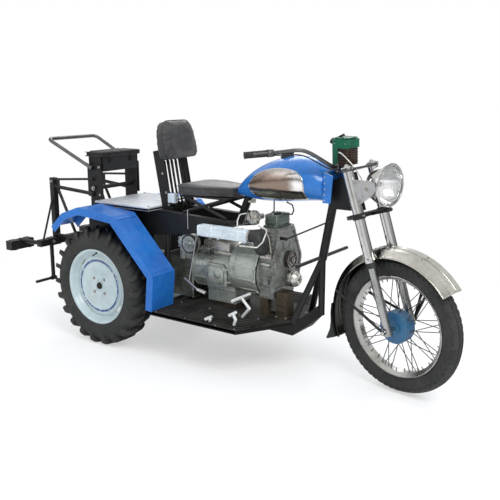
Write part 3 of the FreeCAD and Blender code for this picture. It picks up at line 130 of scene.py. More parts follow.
def setCamera():
    bpy.ops.object.camera_add(location=studio["cameraPlace"])
    camera = bpy.context.object
    camera.name = "studioCamera"
    camera.rotation_euler = (math.radians(90 + studio["cameraPitch"]), 0,
                             math.radians(studio["cameraYaw"] - 90))
    camera.data.lens = studio["lens"]
    camera.data.sensor_width = 36
    camera.data.clip_start, camera.data.clip_end = 0.05, 100
    bpy.context.scene.camera = camera


def addLamp(name, place, size, power):
    bpy.ops.object.light_add(type="AREA", location=place)
    lamp = bpy.context.object
    lamp.name = name
    lamp.data.size = size
    lamp.data.energy = power
    aim = (cadLow + cadHigh) / 2 - Vector(place)
    lamp.rotation_euler = aim.to_track_quat("-Z", "Y").to_euler()


def eased(tree, value, low, high, floor=0.0, top=1.0):
    return put(tree, "ShaderNodeMapRange", {"Value": value, "From Min": low, "From Max": high,
                                            "To Min": floor, "To Max": top},
               interpolation_type="SMOOTHSTEP").outputs["Result"]


def combined(tree, operation, first, second):
    return put(tree, "ShaderNodeMath", {0: first, 1: second}, operation=operation).outputs[0]


def setWorld():
    world = bpy.data.worlds.new("softRoom")
    bpy.context.scene.world = world
    world.use_nodes = True
    tree = world.node_tree
    tree.nodes.clear()
    path = put(tree, "ShaderNodeLightPath").outputs
    spot = put(tree, "ShaderNodeTexCoord").outputs["Generated"]
    softbox = put(tree, "ShaderNodeVectorMath", {0: spot, 1: studio["softboxToward"]},
                  operation="DOT_PRODUCT")
    height = put(tree, "ShaderNodeSeparateXYZ", {0: spot}).outputs["Z"]
    bright = combined(tree, "MAXIMUM", eased(tree, softbox.outputs["Value"], *studio["softboxEdge"]),
                      eased(tree, height, *studio["ceilingEdge"]))
    reflected = put(tree, "ShaderNodeMapRange", {"To Min": studio["darkWall"],
                                                 "Value": bright}).outputs["Result"]
    room = put(tree, "ShaderNodeBackground", {"Color": (1, 1, 1, 1), "Strength": reflected}).outputs[0]
    sky = eased(tree, height, -0.1, 0.9, *studio["skyForObject"])
    dim = put(tree, "ShaderNodeBackground", {"Color": studio["skyColour"], "Strength": sky}).outputs[0]
    white = put(tree, "ShaderNodeBackground", {"Color": (1, 1, 1, 1), "Strength": 1}).outputs[0]
    mirrored = put(tree, "ShaderNodeMixShader", {0: path["Is Glossy Ray"], 1: dim, 2: room}).outputs[0]
    clear = combined(tree, "MAXIMUM", path["Is Camera Ray"], path["Is Transmission Ray"])
    mix = put(tree, "ShaderNodeMixShader", {0: clear, 1: mirrored, 2: white}).outputs[0]
    put(tree, "ShaderNodeOutputWorld", {"Surface": mix})


def layFloor():
    bpy.ops.object.select_all(action="DESELECT")
    bpy.ops.mesh.primitive_plane_add(size=60, location=(0, 0, 0))
    floor = bpy.context.object
    floor.name = "studioFloor"
    paint = bpy.data.materials.new("floorPaint")
    paint.use_nodes = True
    tree = paint.node_tree
    shader = tree.nodes["Principled BSDF"]
    shader.inputs["Base Color"].default_value = studio["floorColour"]
    shader.inputs["Roughness"].default_value = 0.9
    path = put(tree, "ShaderNodeLightPath").outputs
    glow = put(tree, "ShaderNodeEmission", {"Color": (1, 1, 1, 1), "Strength": 1}).outputs[0]
    spot = put(tree, "ShaderNodeTexCoord").outputs["Object"]
    reach = put(tree, "ShaderNodeVectorMath", {0: spot}, operation="LENGTH").outputs["Value"]
    far = eased(tree, reach, studio["floorFadeFrom"], studio["floorFadeTo"], studio["floorLift"])
    seenFar = combined(tree, "MULTIPLY", far, path["Is Camera Ray"])
    shine = combined(tree, "MULTIPLY", path["Is Glossy Ray"], studio["floorShine"])
    share = combined(tree, "MAXIMUM", seenFar, shine)
    mirror = put(tree, "ShaderNodeMixShader", {0: share, 1: shader.outputs[0], 2: glow}).outputs[0]
    tree.links.new(mirror, tree.nodes["Material Output"].inputs["Surface"])
    floor.data.materials.append(paint)


bpy.context.scene.view_settings.view_transform = "Standard"
setCamera()
setWorld()
layFloor()
for role in ("key", "fill", "rim"):
    addLamp(role + "Light", studio[role + "Place"], studio[role + "Size"], studio[role + "Power"])
print("camera and lights placed")


# shared effects, each a node group with named sockets

def startGroup(name, inputs, outputs):
    group = bpy.data.node_groups.new(name, "ShaderNodeTree")
    for label, kind, value in inputs:
        socket = group.interface.new_socket(name=label, in_out="INPUT", socket_type=kind)
        if value is not None:
            socket.default_value = value
    for label, kind in outputs:
        group.interface.new_socket(name=label, in_out="OUTPUT", socket_type=kind)
    return group, put(group, "NodeGroupInput").outputs, put(group, "NodeGroupOutput")


vectorKind, valueKind = "NodeSocketVector", "NodeSocketFloat"


def times(tree, first, second):
    return combined(tree, "MULTIPLY", first, second)


def plus(tree, first, second):
    return combined(tree, "ADD", first, second)


def noise(tree, vector, scale, detail=3.0, roughness=0.55):
    return put(tree, "ShaderNodeTexNoise", {"Vector": vector, "Scale": scale, "Detail": detail,
                                            "Roughness": roughness}).outputs["Fac"]


def makeWornEdges():
    group, given, out = startGroup("wornEdges", [("Vector", vectorKind, None), ("Width", valueKind, 0.003),
                                                 ("Breakup", valueKind, 60.0)], [("Mask", valueKind)])
    rounded = put(group, "ShaderNodeBevel", {"Radius": given["Width"]}, samples=6)
    flat = put(group, "ShaderNodeNewGeometry")
    turn = put(group, "ShaderNodeVectorMath", {0: rounded.outputs[0], 1: flat.outputs["Normal"]},
               operation="DOT_PRODUCT").outputs["Value"]
    edge = put(group, "ShaderNodeMapRange", {"Value": turn, "From Min": 0.995,
                                             "From Max": 0.86}).outputs["Result"]
    broken = eased(group, noise(group, given["Vector"], given["Breakup"], 5.0, 0.65), 0.42, 0.6)
    group.links.new(times(group, edge, broken), out.inputs["Mask"])
    return group


def makeBlotches():
    group, given, out = startGroup("blotches", [("Vector", vectorKind, None), ("Scale", valueKind, 6.0),
                                                ("Low", valueKind, 0.45), ("High", valueKind, 0.7)],
                                   [("Mask", valueKind)])
    broad = noise(group, given["Vector"], given["Scale"], 4.0, 0.6)
    finer = noise(group, given["Vector"], times(group, given["Scale"], 5.0), 4.0, 0.6)
    both = plus(group, times(group, broad, 0.65), times(group, finer, 0.35))
    group.links.new(eased(group, both, given["Low"], given["High"]), out.inputs["Mask"])
    return group


def makeSettledDust():
    group, given, out = startGroup("settledDust", [("Vector", vectorKind, None), ("Scale", valueKind, 14.0)],
                                   [("Mask", valueKind)])
    facing = put(group, "ShaderNodeTexCoord").outputs["Normal"]
    up = put(group, "ShaderNodeSeparateXYZ", {"Vector": facing}).outputs["Z"]
    lying = eased(group, up, 0.35, 0.95)
    patchy = eased(group, noise(group, given["Vector"], given["Scale"], 5.0, 0.62), 0.3, 0.75)
    group.links.new(times(group, lying, patchy), out.inputs["Mask"])
    return group


def makeCastSkin():
    group, given, out = startGroup("castSkin", [("Vector", vectorKind, None), ("Scale", valueKind, 180.0)],
                                   [("Height", valueKind), ("Tone", valueKind)])
    cells = put(group, "ShaderNodeTexVoronoi", {"Vector": given["Vector"], "Scale": given["Scale"]},
                feature="SMOOTH_F1").outputs["Distance"]
    grains = noise(group, given["Vector"], times(group, given["Scale"], 0.6), 6.0, 0.7)
    group.links.new(plus(group, times(group, cells, 0.5), grains), out.inputs["Height"])
    tone = noise(group, given["Vector"], times(group, given["Scale"], 0.09), 5.0, 0.65)
    group.links.new(tone, out.inputs["Tone"])
    return group


def makeHideGrain():
    group, given, out = startGroup("hideGrain", [("Vector", vectorKind, None), ("Scale", valueKind, 420.0)],
                                   [("Height", valueKind), ("Crease", valueKind)])
    warped = put(group, "ShaderNodeVectorMath", {0: given["Vector"], 1: (0.0, 0.0, 0.0)}, operation="ADD")
    swirl = put(group, "ShaderNodeTexNoise", {"Vector": given["Vector"], "Scale": 60.0, "Detail": 2.0})
    drift = put(group, "ShaderNodeVectorMath", {0: swirl.outputs["Color"], "Scale": 0.006}, operation="SCALE")
    group.links.new(drift.outputs[0], warped.inputs[1])
    cells = put(group, "ShaderNodeTexVoronoi", {"Vector": warped.outputs[0], "Scale": given["Scale"]},
                feature="DISTANCE_TO_EDGE").outputs["Distance"]
    pebble = eased(group, cells, 0.0, 0.16)
    group.links.new(pebble, out.inputs["Height"])
    fold = noise(group, given["Vector"], 22.0, 4.0, 0.6)
    group.links.new(eased(group, fold, 0.52, 0.66), out.inputs["Crease"])
    return group


def makeToolMarks():
    group, given, out = startGroup("toolMarks", [("Vector", vectorKind, None),
                                                 ("Stretch", vectorKind, (8.0, 400.0, 400.0))],
                                   [("Height", valueKind)])
    drawn = put(group, "ShaderNodeVectorMath", {0: given["Vector"], 1: given["Stretch"]},
                operation="MULTIPLY").outputs[0]
    group.links.new(noise(group, drawn, 1.0, 4.0, 0.6), out.inputs["Height"])
    return group


effects = {"wornEdges": makeWornEdges(), "blotches": makeBlotches(), "settledDust": makeSettledDust(),
           "castSkin": makeCastSkin(), "hideGrain": makeHideGrain(), "toolMarks": makeToolMarks()}


def effectNode(tree, effect, inputs):
    node = put(tree, "ShaderNodeGroup", node_tree=effects[effect])
    for name, value in inputs.items():
        if isinstance(value, bpy.types.NodeSocket):
            tree.links.new(value, node.inputs[name])
        else:
            node.inputs[name].default_value = value
    return node


def blotchMask(tree, place, scale, low, high):
    return effectNode(tree, "blotches", {"Vector": place, "Scale": scale, "Low": low,
                                         "High": high}).outputs["Mask"]


def dustMask(tree, place, scale):
    return effectNode(tree, "settledDust", {"Vector": place, "Scale": scale}).outputs["Mask"]


def wornMask(tree, place, width, breakup):
    return effectNode(tree, "wornEdges", {"Vector": place, "Width": width,
                                          "Breakup": breakup}).outputs["Mask"]


def markLines(tree, place, stretch):
    return effectNode(tree, "toolMarks", {"Vector": place, "Stretch": stretch}).outputs["Height"]


def tint(tree, shader, colour):
    tree.links.new(colour, shader.inputs["Base Color"])


def roughen(tree, shader, value):
    tree.links.new(value, shader.inputs["Roughness"])


def startMaterial(name):
    material = bpy.data.materials.new(name)
    material.use_nodes = True
    tree = material.node_tree
    place = put(tree, "ShaderNodeTexCoord").outputs["Object"]
    return material, tree, tree.nodes["Principled BSDF"], place


def layOver(tree, under, over, mask):
    node = put(tree, "ShaderNodeMix", {"Factor": mask}, data_type="RGBA")
    for socket, value in ((node.inputs["A"], under), (node.inputs["B"], over)):
        if isinstance(value, bpy.types.NodeSocket):
            tree.links.new(value, socket)
        else:
            socket.default_value = (*value, 1)
    return node.outputs["Result"]


def emboss(tree, shader, height, strength, distance):
    bump = put(tree, "ShaderNodeBump", {"Height": height, "Strength": strength, "Distance": distance})
    tree.links.new(bump.outputs["Normal"], shader.inputs["Normal"])


# finishes

enamels = {
    "blueEnamel": {"colour": (0.019, 0.165, 0.54), "deep": (0.014, 0.12, 0.45), "chip": (0.1, 0.09, 0.085),
                   "rough": 0.27, "coat": 0.16, "wear": 0.55, "dust": 0.12, "peel": 0.1, "shine": 0.2},
    "fadedBlueEnamel": {"colour": (0.015, 0.115, 0.235), "deep": (0.012, 0.07, 0.19),
                        "chip": (0.2, 0.19, 0.18),
                        "rough": 0.42, "coat": 0.15, "wear": 0.9, "dust": 0.3, "peel": 0.3},
    "blackEnamel": {"colour": (0.013, 0.0135, 0.014), "deep": (0.008, 0.008, 0.009),
                    "chip": (0.1, 0.065, 0.045),
                    "rough": 0.42, "coat": 0.06, "wear": 0.6, "dust": 0.16, "peel": 0.3, "shine": 0.22},
    "boardBlack": {"colour": (0.015, 0.015, 0.014), "deep": (0.009, 0.009, 0.008),
                   "chip": (0.07, 0.055, 0.04),
                   "rough": 0.62, "coat": 0.0, "wear": 0.5, "dust": 0.1, "peel": 0.4, "shine": 0.16},
    "tankBlue": {"colour": (0.022, 0.17, 0.52), "deep": (0.017, 0.13, 0.43), "chip": (0.1, 0.09, 0.085),
                 "rough": 0.2, "coat": 0.28, "wear": 0.4, "dust": 0.08, "peel": 0.1, "shine": 0.3},
    "wheelWhite": {"colour": (0.5, 0.6, 0.62), "deep": (0.38, 0.48, 0.5), "chip": (0.16, 0.1, 0.07),
                   "rough": 0.32, "coat": 0.35, "wear": 0.5, "dust": 0.2, "peel": 0.15},
    "boxWhite": {"colour": (0.72, 0.8, 0.85), "deep": (0.56, 0.65, 0.72), "chip": (0.2, 0.2, 0.2),
                 "rough": 0.28, "coat": 0.35, "wear": 0.5, "dust": 0.2, "peel": 0.15},
    "pedalWhite": {"colour": (0.72, 0.74, 0.74), "deep": (0.5, 0.52, 0.52), "chip": (0.12, 0.11, 0.1),
                   "rough": 0.4, "coat": 0.2, "wear": 1.0, "dust": 0.25, "peel": 0.2},
    "greenEnamel": {"colour": (0.003, 0.135, 0.068), "deep": (0.002, 0.06, 0.03), "chip": (0.1, 0.12, 0.1),
                    "rough": 0.4, "coat": 0.05, "wear": 0.6, "dust": 0.08, "peel": 0.2, "shine": 0.25},
    "brownEnamel": {"colour": (0.05, 0.027, 0.018), "deep": (0.022, 0.014, 0.01), "chip": (0.25, 0.2, 0.15),
                    "rough": 0.5, "coat": 0.0, "wear": 0.6, "dust": 0.12, "peel": 0.3, "shine": 0.25},
}


def makeEnamel(name):
    given = enamels[name]
    material, tree, shader, place = startMaterial(name)
    fade = blotchMask(tree, place, 3.5, 0.4, 0.66)
    body = layOver(tree, given["colour"], given["deep"], fade)
    dust = dustMask(tree, place, 11.0)
    dusty = layOver(tree, body, (0.34, 0.32, 0.29), times(tree, dust, given["dust"]))
    grime = blotchMask(tree, place, 16.0, 0.56, 0.74)
    stained = layOver(tree, dusty, (0.045, 0.038, 0.03), times(tree, grime, 0.22))
    worn = wornMask(tree, place, 0.003, 70.0)
    wear = times(tree, worn, given["wear"])
    tint(tree, shader, layOver(tree, stained, given["chip"], wear))
    fine = noise(tree, place, 95.0, 4.0, 0.6)
    rough = plus(tree, times(tree, plus(tree, dust, times(tree, grime, 0.6)), 0.22),
                 plus(tree, times(tree, fine, 0.16), given["rough"] - 0.07))
    roughen(tree, shader, plus(tree, rough, times(tree, wear, 0.25)))
    shader.inputs["Specular IOR Level"].default_value = given.get("shine", 0.5)
    shader.inputs["Coat Weight"].default_value = given["coat"]
    shader.inputs["Coat Roughness"].default_value = 0.12
    emboss(tree, shader, plus(tree, noise(tree, place, 240.0, 3.0), times(tree, wear, -0.6)), given["peel"],
           0.0006)
    return material


ringPaint = {"radius": 0.148, "halfWidth": 0.0052, "colour": (0.01, 0.04, 0.22)}


def makePressedWheel():
    material = makeEnamel("wheelWhite")
    material.name = "pressedWheel"
    tree, shader = material.node_tree, material.node_tree.nodes["Principled BSDF"]
    place = put(tree, "ShaderNodeTexCoord").outputs["Object"]
    parts = put(tree, "ShaderNodeSeparateXYZ", {"Vector": place}).outputs
    level = plus(tree, parts["X"], -rearHub["right"].x)
    height = plus(tree, parts["Z"], -rearHub["right"].z)
    reach = put(tree, "ShaderNodeMath", {0: plus(tree, times(tree, level, level),
                                                 times(tree, height, height))}, operation="SQRT").outputs[0]
    off = put(tree, "ShaderNodeMath", {0: plus(tree, reach, -ringPaint["radius"])},
              operation="ABSOLUTE").outputs[0]
    ring = put(tree, "ShaderNodeMapRange", {"Value": off, "From Min": ringPaint["halfWidth"] + 0.0008,
                                            "From Max": ringPaint["halfWidth"]}).outputs["Result"]
    rubbed = blotchMask(tree, place, 30.0, 0.62, 0.5)
    under = shader.inputs["Base Color"].links[0].from_socket
    tint(tree, shader, layOver(tree, under, ringPaint["colour"], times(tree, ring, rubbed)))
    return material


bareMetals = {
    "chrome": {"colour": (0.56, 0.56, 0.55), "tarnish": (0.2, 0.17, 0.13), "rough": 0.1, "spread": 0.34,
               "grain": 0.05},
    "guardChrome": {"darkReflectionFrom": 0.12, "colour": (0.5, 0.49, 0.45), "tarnish": (0.14, 0.125, 0.095),
                    "rough": 0.13, "spread": 0.55,
                    "grain": 0.06},
    "forkSteel": {"colour": (0.4, 0.4, 0.4), "tarnish": (0.11, 0.11, 0.11), "rough": 0.24, "spread": 0.55,
                  "grain": 0.15},
    "rimSteel": {"wireRadius": 0.232, "colour": (0.44, 0.44, 0.42), "tarnish": (0.15, 0.12, 0.09),
                 "rough": 0.2, "spread": 0.6,
                 "grain": 0.12},
    "boltSteel": {"colour": (0.4, 0.39, 0.36), "tarnish": (0.15, 0.11, 0.075), "rough": 0.34, "spread": 0.5,
                  "grain": 0.2},
    "barSteel": {"colour": (0.13, 0.13, 0.13), "tarnish": (0.05, 0.048, 0.045), "rough": 0.32, "spread": 0.6,
                 "grain": 0.2},
    "pulleySteel": {"colour": (0.2, 0.19, 0.18), "tarnish": (0.08, 0.065, 0.05), "rough": 0.33, "spread": 0.6,
                    "grain": 0.25},
    "brightAlloy": {"colour": (0.62, 0.61, 0.58), "tarnish": (0.26, 0.24, 0.2), "rough": 0.27, "spread": 0.45,
                    "grain": 0.25},
}


def alongFork(tree, place, first, last):
    reach = tree.nodes.new("ShaderNodeVectorMath")
    reach.operation = "DOT_PRODUCT"
    reach.inputs[1].default_value = -steerAhead
    tree.links.new(place, reach.inputs[0])
    start = -frontHub.dot(steerAhead)
    return eased(tree, reach.outputs["Value"], start + first, start + last)


def withinWheel(tree, place, radius):
    reach = tree.nodes.new("ShaderNodeVectorMath")
    reach.operation = "DISTANCE"
    reach.inputs[1].default_value = frontHub
    tree.links.new(place, reach.inputs[0])
    return eased(tree, times(tree, reach.outputs["Value"], -1.0), -radius, 0.004 - radius)


def makeBareMetal(name):
    given = bareMetals[name]
    material, tree, shader, place = startMaterial(name)
    broad = blotchMask(tree, place, 9.0, 0.44, 0.72)
    spots = blotchMask(tree, place, 60.0, 0.58, 0.7)
    spent = plus(tree, times(tree, broad, given["spread"]), times(tree, spots, 0.35))
    dust = dustMask(tree, place, 18.0)
    body = layOver(tree, given["colour"], given["tarnish"], spent)
    if "wireRadius" in given:
        body = layOver(tree, body, (0.1, 0.1, 0.095), withinWheel(tree, place, given["wireRadius"]))
    # Painted dark reflection: the guard's colour turns dark from a set distance behind the wheel centre, measured
    # along the fork.
    if "darkReflectionFrom" in given:
        body = layOver(tree, body, (0.045, 0.045, 0.04), alongFork(tree, place, given["darkReflectionFrom"],
                                                                   given["darkReflectionFrom"] + 0.07))
    tint(tree, shader, layOver(tree, body, (0.33, 0.31, 0.28), times(tree, dust, 0.12)))
    roughen(tree, shader, plus(tree, times(tree, spent, 0.3),
                               plus(tree, times(tree, dust, 0.14), given["rough"])))
    shader.inputs["Metallic"].default_value = 1
    lines = markLines(tree, place, (30.0, 700.0, 700.0))
    emboss(tree, shader, plus(tree, lines, times(tree, spots, -0.8)), given["grain"], 0.0003)
    return material


castings = {
    "gearAlloy": {"colour": (0.4, 0.43, 0.385), "stain": (0.085, 0.088, 0.07), "bright": (0.66, 0.67, 0.62),
                  "metal": 0.55, "rough": 0.46, "bump": 0.5},
    "engineIron": {"colour": (0.215, 0.225, 0.21), "stain": (0.035, 0.034, 0.03),
                   "bright": (0.42, 0.42, 0.39),
                   "metal": 0.45, "rough": 0.5, "bump": 0.6},
    "rockerGreen": {"colour": (0.075, 0.105, 0.085), "stain": (0.03, 0.035, 0.03),
                    "bright": (0.26, 0.29, 0.26),
                    "metal": 0.35, "rough": 0.4, "bump": 0.3},
    # a darker copy of the gear alloy's colours: painted shade on the transfer case under the seat
    "casePaintedShade": {"colour": (0.12, 0.13, 0.115), "stain": (0.022, 0.023, 0.019), "bright": (0.34, 0.36, 0.32),
                 "metal": 0.4, "rough": 0.55, "bump": 0.6},
    "carbAlloy": {"colour": (0.47, 0.46, 0.42), "stain": (0.13, 0.12, 0.09), "bright": (0.72, 0.71, 0.68),
                  "metal": 0.75, "rough": 0.36, "bump": 0.4},
    "rustyCast": {"colour": (0.052, 0.038, 0.022), "stain": (0.014, 0.012, 0.009),
                  "bright": (0.13, 0.09, 0.045),
                  "metal": 0.25, "rough": 0.66, "bump": 0.8},
}


def makeCasting(name):
    given = castings[name]
    material, tree, shader, place = startMaterial(name)
    skin = effectNode(tree, "castSkin", {"Vector": place, "Scale": 230.0})
    oily = blotchMask(tree, place, 12.0, 0.47, 0.66)
    patch = blotchMask(tree, place, 42.0, 0.5, 0.68)
    worn = wornMask(tree, place, 0.004, 90.0)
    body = layOver(tree, given["colour"], given["stain"], times(tree, oily, 0.75))
    body = layOver(tree, body, given["stain"], times(tree, patch, 0.55))
    body = layOver(tree, body, given["bright"], times(tree, eased(tree, skin.outputs["Tone"], 0.5, 0.75),
                                                      0.5))
    tint(tree, shader, layOver(tree, body, given["bright"], times(tree, worn, 0.8)))
    roughen(tree, shader, plus(tree, times(tree, oily, -0.14),
                               plus(tree, times(tree, patch, 0.1), given["rough"])))
    shader.inputs["Metallic"].default_value = given["metal"]
    emboss(tree, shader, skin.outputs["Height"], given["bump"], 0.0009)
    return material


def makeTyreRubber():
    material, tree, shader, place = startMaterial("tyreRubber")
    scuffs = blotchMask(tree, place, 7.0, 0.42, 0.7)
    soil = blotchMask(tree, place, 38.0, 0.52, 0.7)
    shader.inputs["Specular IOR Level"].default_value = 0.3
    body = layOver(tree, (0.02, 0.021, 0.02), (0.042, 0.043, 0.04), scuffs)
    worn = wornMask(tree, place, 0.004, 45.0)
    body = layOver(tree, body, (0.085, 0.082, 0.075), times(tree, worn, 0.6))
    tint(tree, shader, layOver(tree, body, (0.1, 0.09, 0.075), times(tree, soil, 0.28)))
    roughen(tree, shader, plus(tree, times(tree, scuffs, 0.12), plus(tree, times(tree, soil, 0.14), 0.58)))
    emboss(tree, shader, plus(tree, noise(tree, place, 420.0, 4.0), times(tree, soil, 0.5)), 0.25, 0.0008)
    return material


def makeSoftBlack(name, colour, rough, bump):
    material, tree, shader, place = startMaterial(name)
    dust = dustMask(tree, place, 16.0)
    patch = blotchMask(tree, place, 20.0, 0.45, 0.7)
    body = layOver(tree, colour, tuple(3 * part for part in colour), times(tree, patch, 0.5))
    tint(tree, shader, layOver(tree, body, (0.2, 0.19, 0.17), times(tree, dust, 0.18)))
    roughen(tree, shader, plus(tree, times(tree, patch, 0.15), rough))
    shader.inputs["Specular IOR Level"].default_value = 0.32
    emboss(tree, shader, noise(tree, place, 520.0, 4.0), bump, 0.0006)
    return material


def makeSeatVinyl():
    material, tree, shader, place = startMaterial("seatVinyl")
    hide = effectNode(tree, "hideGrain", {"Vector": place, "Scale": 340.0})
    dust = dustMask(tree, place, 9.0)
    patch = blotchMask(tree, place, 10.0, 0.42, 0.68)
    body = layOver(tree, (0.02, 0.02, 0.021), (0.04, 0.04, 0.041), patch)
    body = layOver(tree, body, (0.058, 0.057, 0.056), times(tree, hide.outputs["Crease"], 0.5))
    tint(tree, shader, layOver(tree, body, (0.24, 0.24, 0.235), times(tree, dust, 0.34)))
    roughen(tree, shader, plus(tree, times(tree, hide.outputs["Height"], -0.08),
                               plus(tree, times(tree, patch, 0.12), 0.46)))
    shader.inputs["Sheen Weight"].default_value = 0.12
    folds = times(tree, hide.outputs["Crease"], 1.6)
    emboss(tree, shader, plus(tree, hide.outputs["Height"], folds), 0.32, 0.0009)
    return material


def makeDeckPlate():
    material, tree, shader, place = startMaterial("deckPlateMetal")
    blots = blotchMask(tree, place, 8.0, 0.44, 0.68)
    scratch = markLines(tree, place, (12.0, 260.0, 260.0))
    stains = blotchMask(tree, place, 30.0, 0.56, 0.7)
    worn = wornMask(tree, place, 0.003, 60.0)
    body = layOver(tree, (0.68, 0.71, 0.75), (0.54, 0.56, 0.59), blots)
    body = layOver(tree, body, (0.72, 0.75, 0.8), times(tree, eased(tree, scratch, 0.52, 0.7), 0.5))
    body = layOver(tree, body, (0.2, 0.18, 0.15), times(tree, stains, 0.3))
    tint(tree, shader, layOver(tree, body, (0.8, 0.8, 0.8), worn))
    roughen(tree, shader, plus(tree, times(tree, blots, 0.15), plus(tree, times(tree, scratch, 0.2), 0.26)))
    shader.inputs["Metallic"].default_value = 0.35
    emboss(tree, shader, plus(tree, scratch, times(tree, blots, 0.4)), 0.2, 0.0006)
    return material


def makeLampGlass():
    material, tree, shader, place = startMaterial("lampGlass")
    body = blotchMask(tree, place, 25.0, 0.4, 0.8)
    tint(tree, shader, layOver(tree, (1.0, 1.0, 1.0), (0.9, 0.92, 0.93), body))
    roughen(tree, shader, plus(tree, times(tree, body, 0.05), 0.02))
    shader.inputs["Transmission Weight"].default_value = 0.92
    shader.inputs["IOR"].default_value = 1.45
    flutes = put(tree, "ShaderNodeTexWave", {"Vector": place, "Scale": 26.0, "Distortion": 0.0},
                 wave_type="BANDS", bands_direction="Y").outputs["Fac"]
    emboss(tree, shader, flutes, 0.35, 0.0015)
    return material


def makeReflector():
    material, tree, shader, place = startMaterial("reflectorPaintedReflection")
    # Painted reflection: the reflector is coloured dark grey above a line just over the lamp's centre and near
    # white below it.
    height = put(tree, "ShaderNodeSeparateXYZ", {"Vector": place}).outputs["Z"]
    centre = onFork(0.1965, 0, 0.6645).z
    haze = blotchMask(tree, place, 22.0, 0.4, 0.75)
    upper = eased(tree, plus(tree, height, times(tree, haze, 0.008)), centre + 0.012, centre + 0.022)
    body = layOver(tree, (0.93, 0.93, 0.92), (0.3, 0.31, 0.31), upper)
    tint(tree, shader, layOver(tree, body, (0.6, 0.58, 0.52), times(tree, haze, 0.15)))
    roughen(tree, shader, plus(tree, times(tree, haze, 0.14), 0.14))
    shader.inputs["Metallic"].default_value = 0.85
    return material


def makeTankPanel():
    # The panel's colour is a painted reflection: a brown middle band standing in for reflected ground, a pale
    # upper band, a dark horizon line, a grey lower band and a bright painted highlight towards the front. The
    # small dark spots are tarnish.
    material, tree, shader, place = startMaterial("tankPanelPaintedReflection")
    height = put(tree, "ShaderNodeSeparateXYZ", {"Vector": place}).outputs["Z"]
    low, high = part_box("fuel_tank")
    middle = (low.z + high.z) / 2
    streaks = blotchMask(tree, place, 12.0, 0.4, 0.7)
    upper = eased(tree, plus(tree, height, times(tree, streaks, 0.02)), middle + 0.02, middle + 0.085)
    lower = eased(tree, plus(tree, times(tree, height, -1.0), times(tree, streaks, 0.008)), 0.052 - middle,
                  0.066 - middle)
    along = put(tree, "ShaderNodeSeparateXYZ", {"Vector": place}).outputs["X"]
    front = eased(tree, plus(tree, along, times(tree, streaks, 0.03)), low.x + 0.355, low.x + 0.405)
    line = eased(tree, plus(tree, times(tree, height, -1.0), times(tree, streaks, 0.006)), 0.038 - middle,
                 0.047 - middle)
    body = layOver(tree, (0.27, 0.2, 0.16), (0.62, 0.6, 0.59), upper)
    body = layOver(tree, body, (0.86, 0.83, 0.82), front)
    body = layOver(tree, body, (0.045, 0.042, 0.036), line)
    body = layOver(tree, body, (0.23, 0.22, 0.185), lower)
    spots = blotchMask(tree, place, 70.0, 0.56, 0.68)
    tint(tree, shader, layOver(tree, body, (0.1, 0.085, 0.065), times(tree, spots, 0.5)))
    roughen(tree, shader, plus(tree, times(tree, spots, 0.25), plus(tree, times(tree, streaks, 0.12), 0.17)))
    shader.inputs["Metallic"].default_value = 0.9
    lines = markLines(tree, place, (500.0, 30.0, 60.0))
    emboss(tree, shader, lines, 0.08, 0.0003)
    return material


finishes = {name: makeEnamel(name) for name in enamels}
finishes.update({name: makeBareMetal(name) for name in bareMetals})
finishes.update({name: makeCasting(name) for name in castings})
finishes["pressedWheel"] = makePressedWheel()
finishes["tyreRubber"] = makeTyreRubber()
finishes["blackRubber"] = makeSoftBlack("blackRubber", (0.02, 0.021, 0.022), 0.52, 0.2)
finishes["blackPlastic"] = makeSoftBlack("blackPlastic", (0.018, 0.018, 0.018), 0.38, 0.1)
finishes["paleHose"] = makeSoftBlack("paleHose", (0.5, 0.51, 0.47), 0.4, 0.1)
finishes["seatVinyl"] = makeSeatVinyl()
finishes["deckPlateMetal"] = makeDeckPlate()
finishes["lampGlass"] = makeLampGlass()
finishes["tankPanelPaintedReflection"] = makeTankPanel()
finishes["reflectorPaintedReflection"] = makeReflector()
print("finishes mixed:", len(finishes))


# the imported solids' own finishes

nodeFinish = {
    "blueEnamel": ["fender_right", "fender_left"],
    "tankBlue": ["fuel_tank", "neck_cover"],
    "fadedBlueEnamel": ["front_hub"],
    "blackEnamel": ["rear_axle", "yokes", "main_frame", "rear_portal", "toolbox",
                    "toolbox_lid", "lift_frame", "tool_carriers", "tool_shanks", "backrest_frame",
                    "seat_carrier", "mudguard_stays"],
    "boardBlack": ["footboard", "skid_plate"],
    "wheelWhite": ["rear_wheel_right", "rear_wheel_left"],
    "boxWhite": ["silencer"],
    "pedalWhite": ["pedals"],
    "greenEnamel": ["control_box"],
    "brownEnamel": ["control_core"],
    "chrome": ["fork_covers", "headlamp"],
    "barSteel": ["handlebar", "hand_levers", "lift_handle"],
    "rimSteel": ["front_rim"],
    "guardChrome": ["front_mudguard"],
    "forkSteel": ["fork_sliders", "control_rods", "lamp_brackets"],
    "gearAlloy": ["gearbox", "belt_drum"],
    "casePaintedShade": ["transfer_case"],
    "engineIron": ["engine_block", "timing_cover"],
    "carbAlloy": ["carburettor"],
    "brightAlloy": ["alternator"],
    "pulleySteel": ["crank_pulley"],
    "rustyCast": ["engine_mounts"],
    "tyreRubber": ["rear_tyre_right", "rear_tyre_left", "front_tyre"],
    "blackRubber": ["grips", "intake_elbow", "bar_cables", "fuel_hoses"],
    "paleHose": ["breather_hoses"],
    "blackPlastic": ["tank_cap"],
    "seatVinyl": ["seat_cushion", "backrest_cushion"],
    "deckPlateMetal": ["deck_plate"],
    "lampGlass": ["headlamp_lens"],
}

for finish, names in nodeFinish.items():
    for name in names:
        nodes[name].data.materials.clear()
        nodes[name].data.materials.append(finishes[finish])
print("solids painted")


# ways of shaping, used by every piece

def pickNothing():
    bpy.ops.object.select_all(action="DESELECT")


def discard(piece):
    bpy.data.objects.remove(piece, do_unlink=True)


def pick(piece):
    pickNothing()
    piece.select_set(True)
    bpy.context.view_layer.objects.active = piece


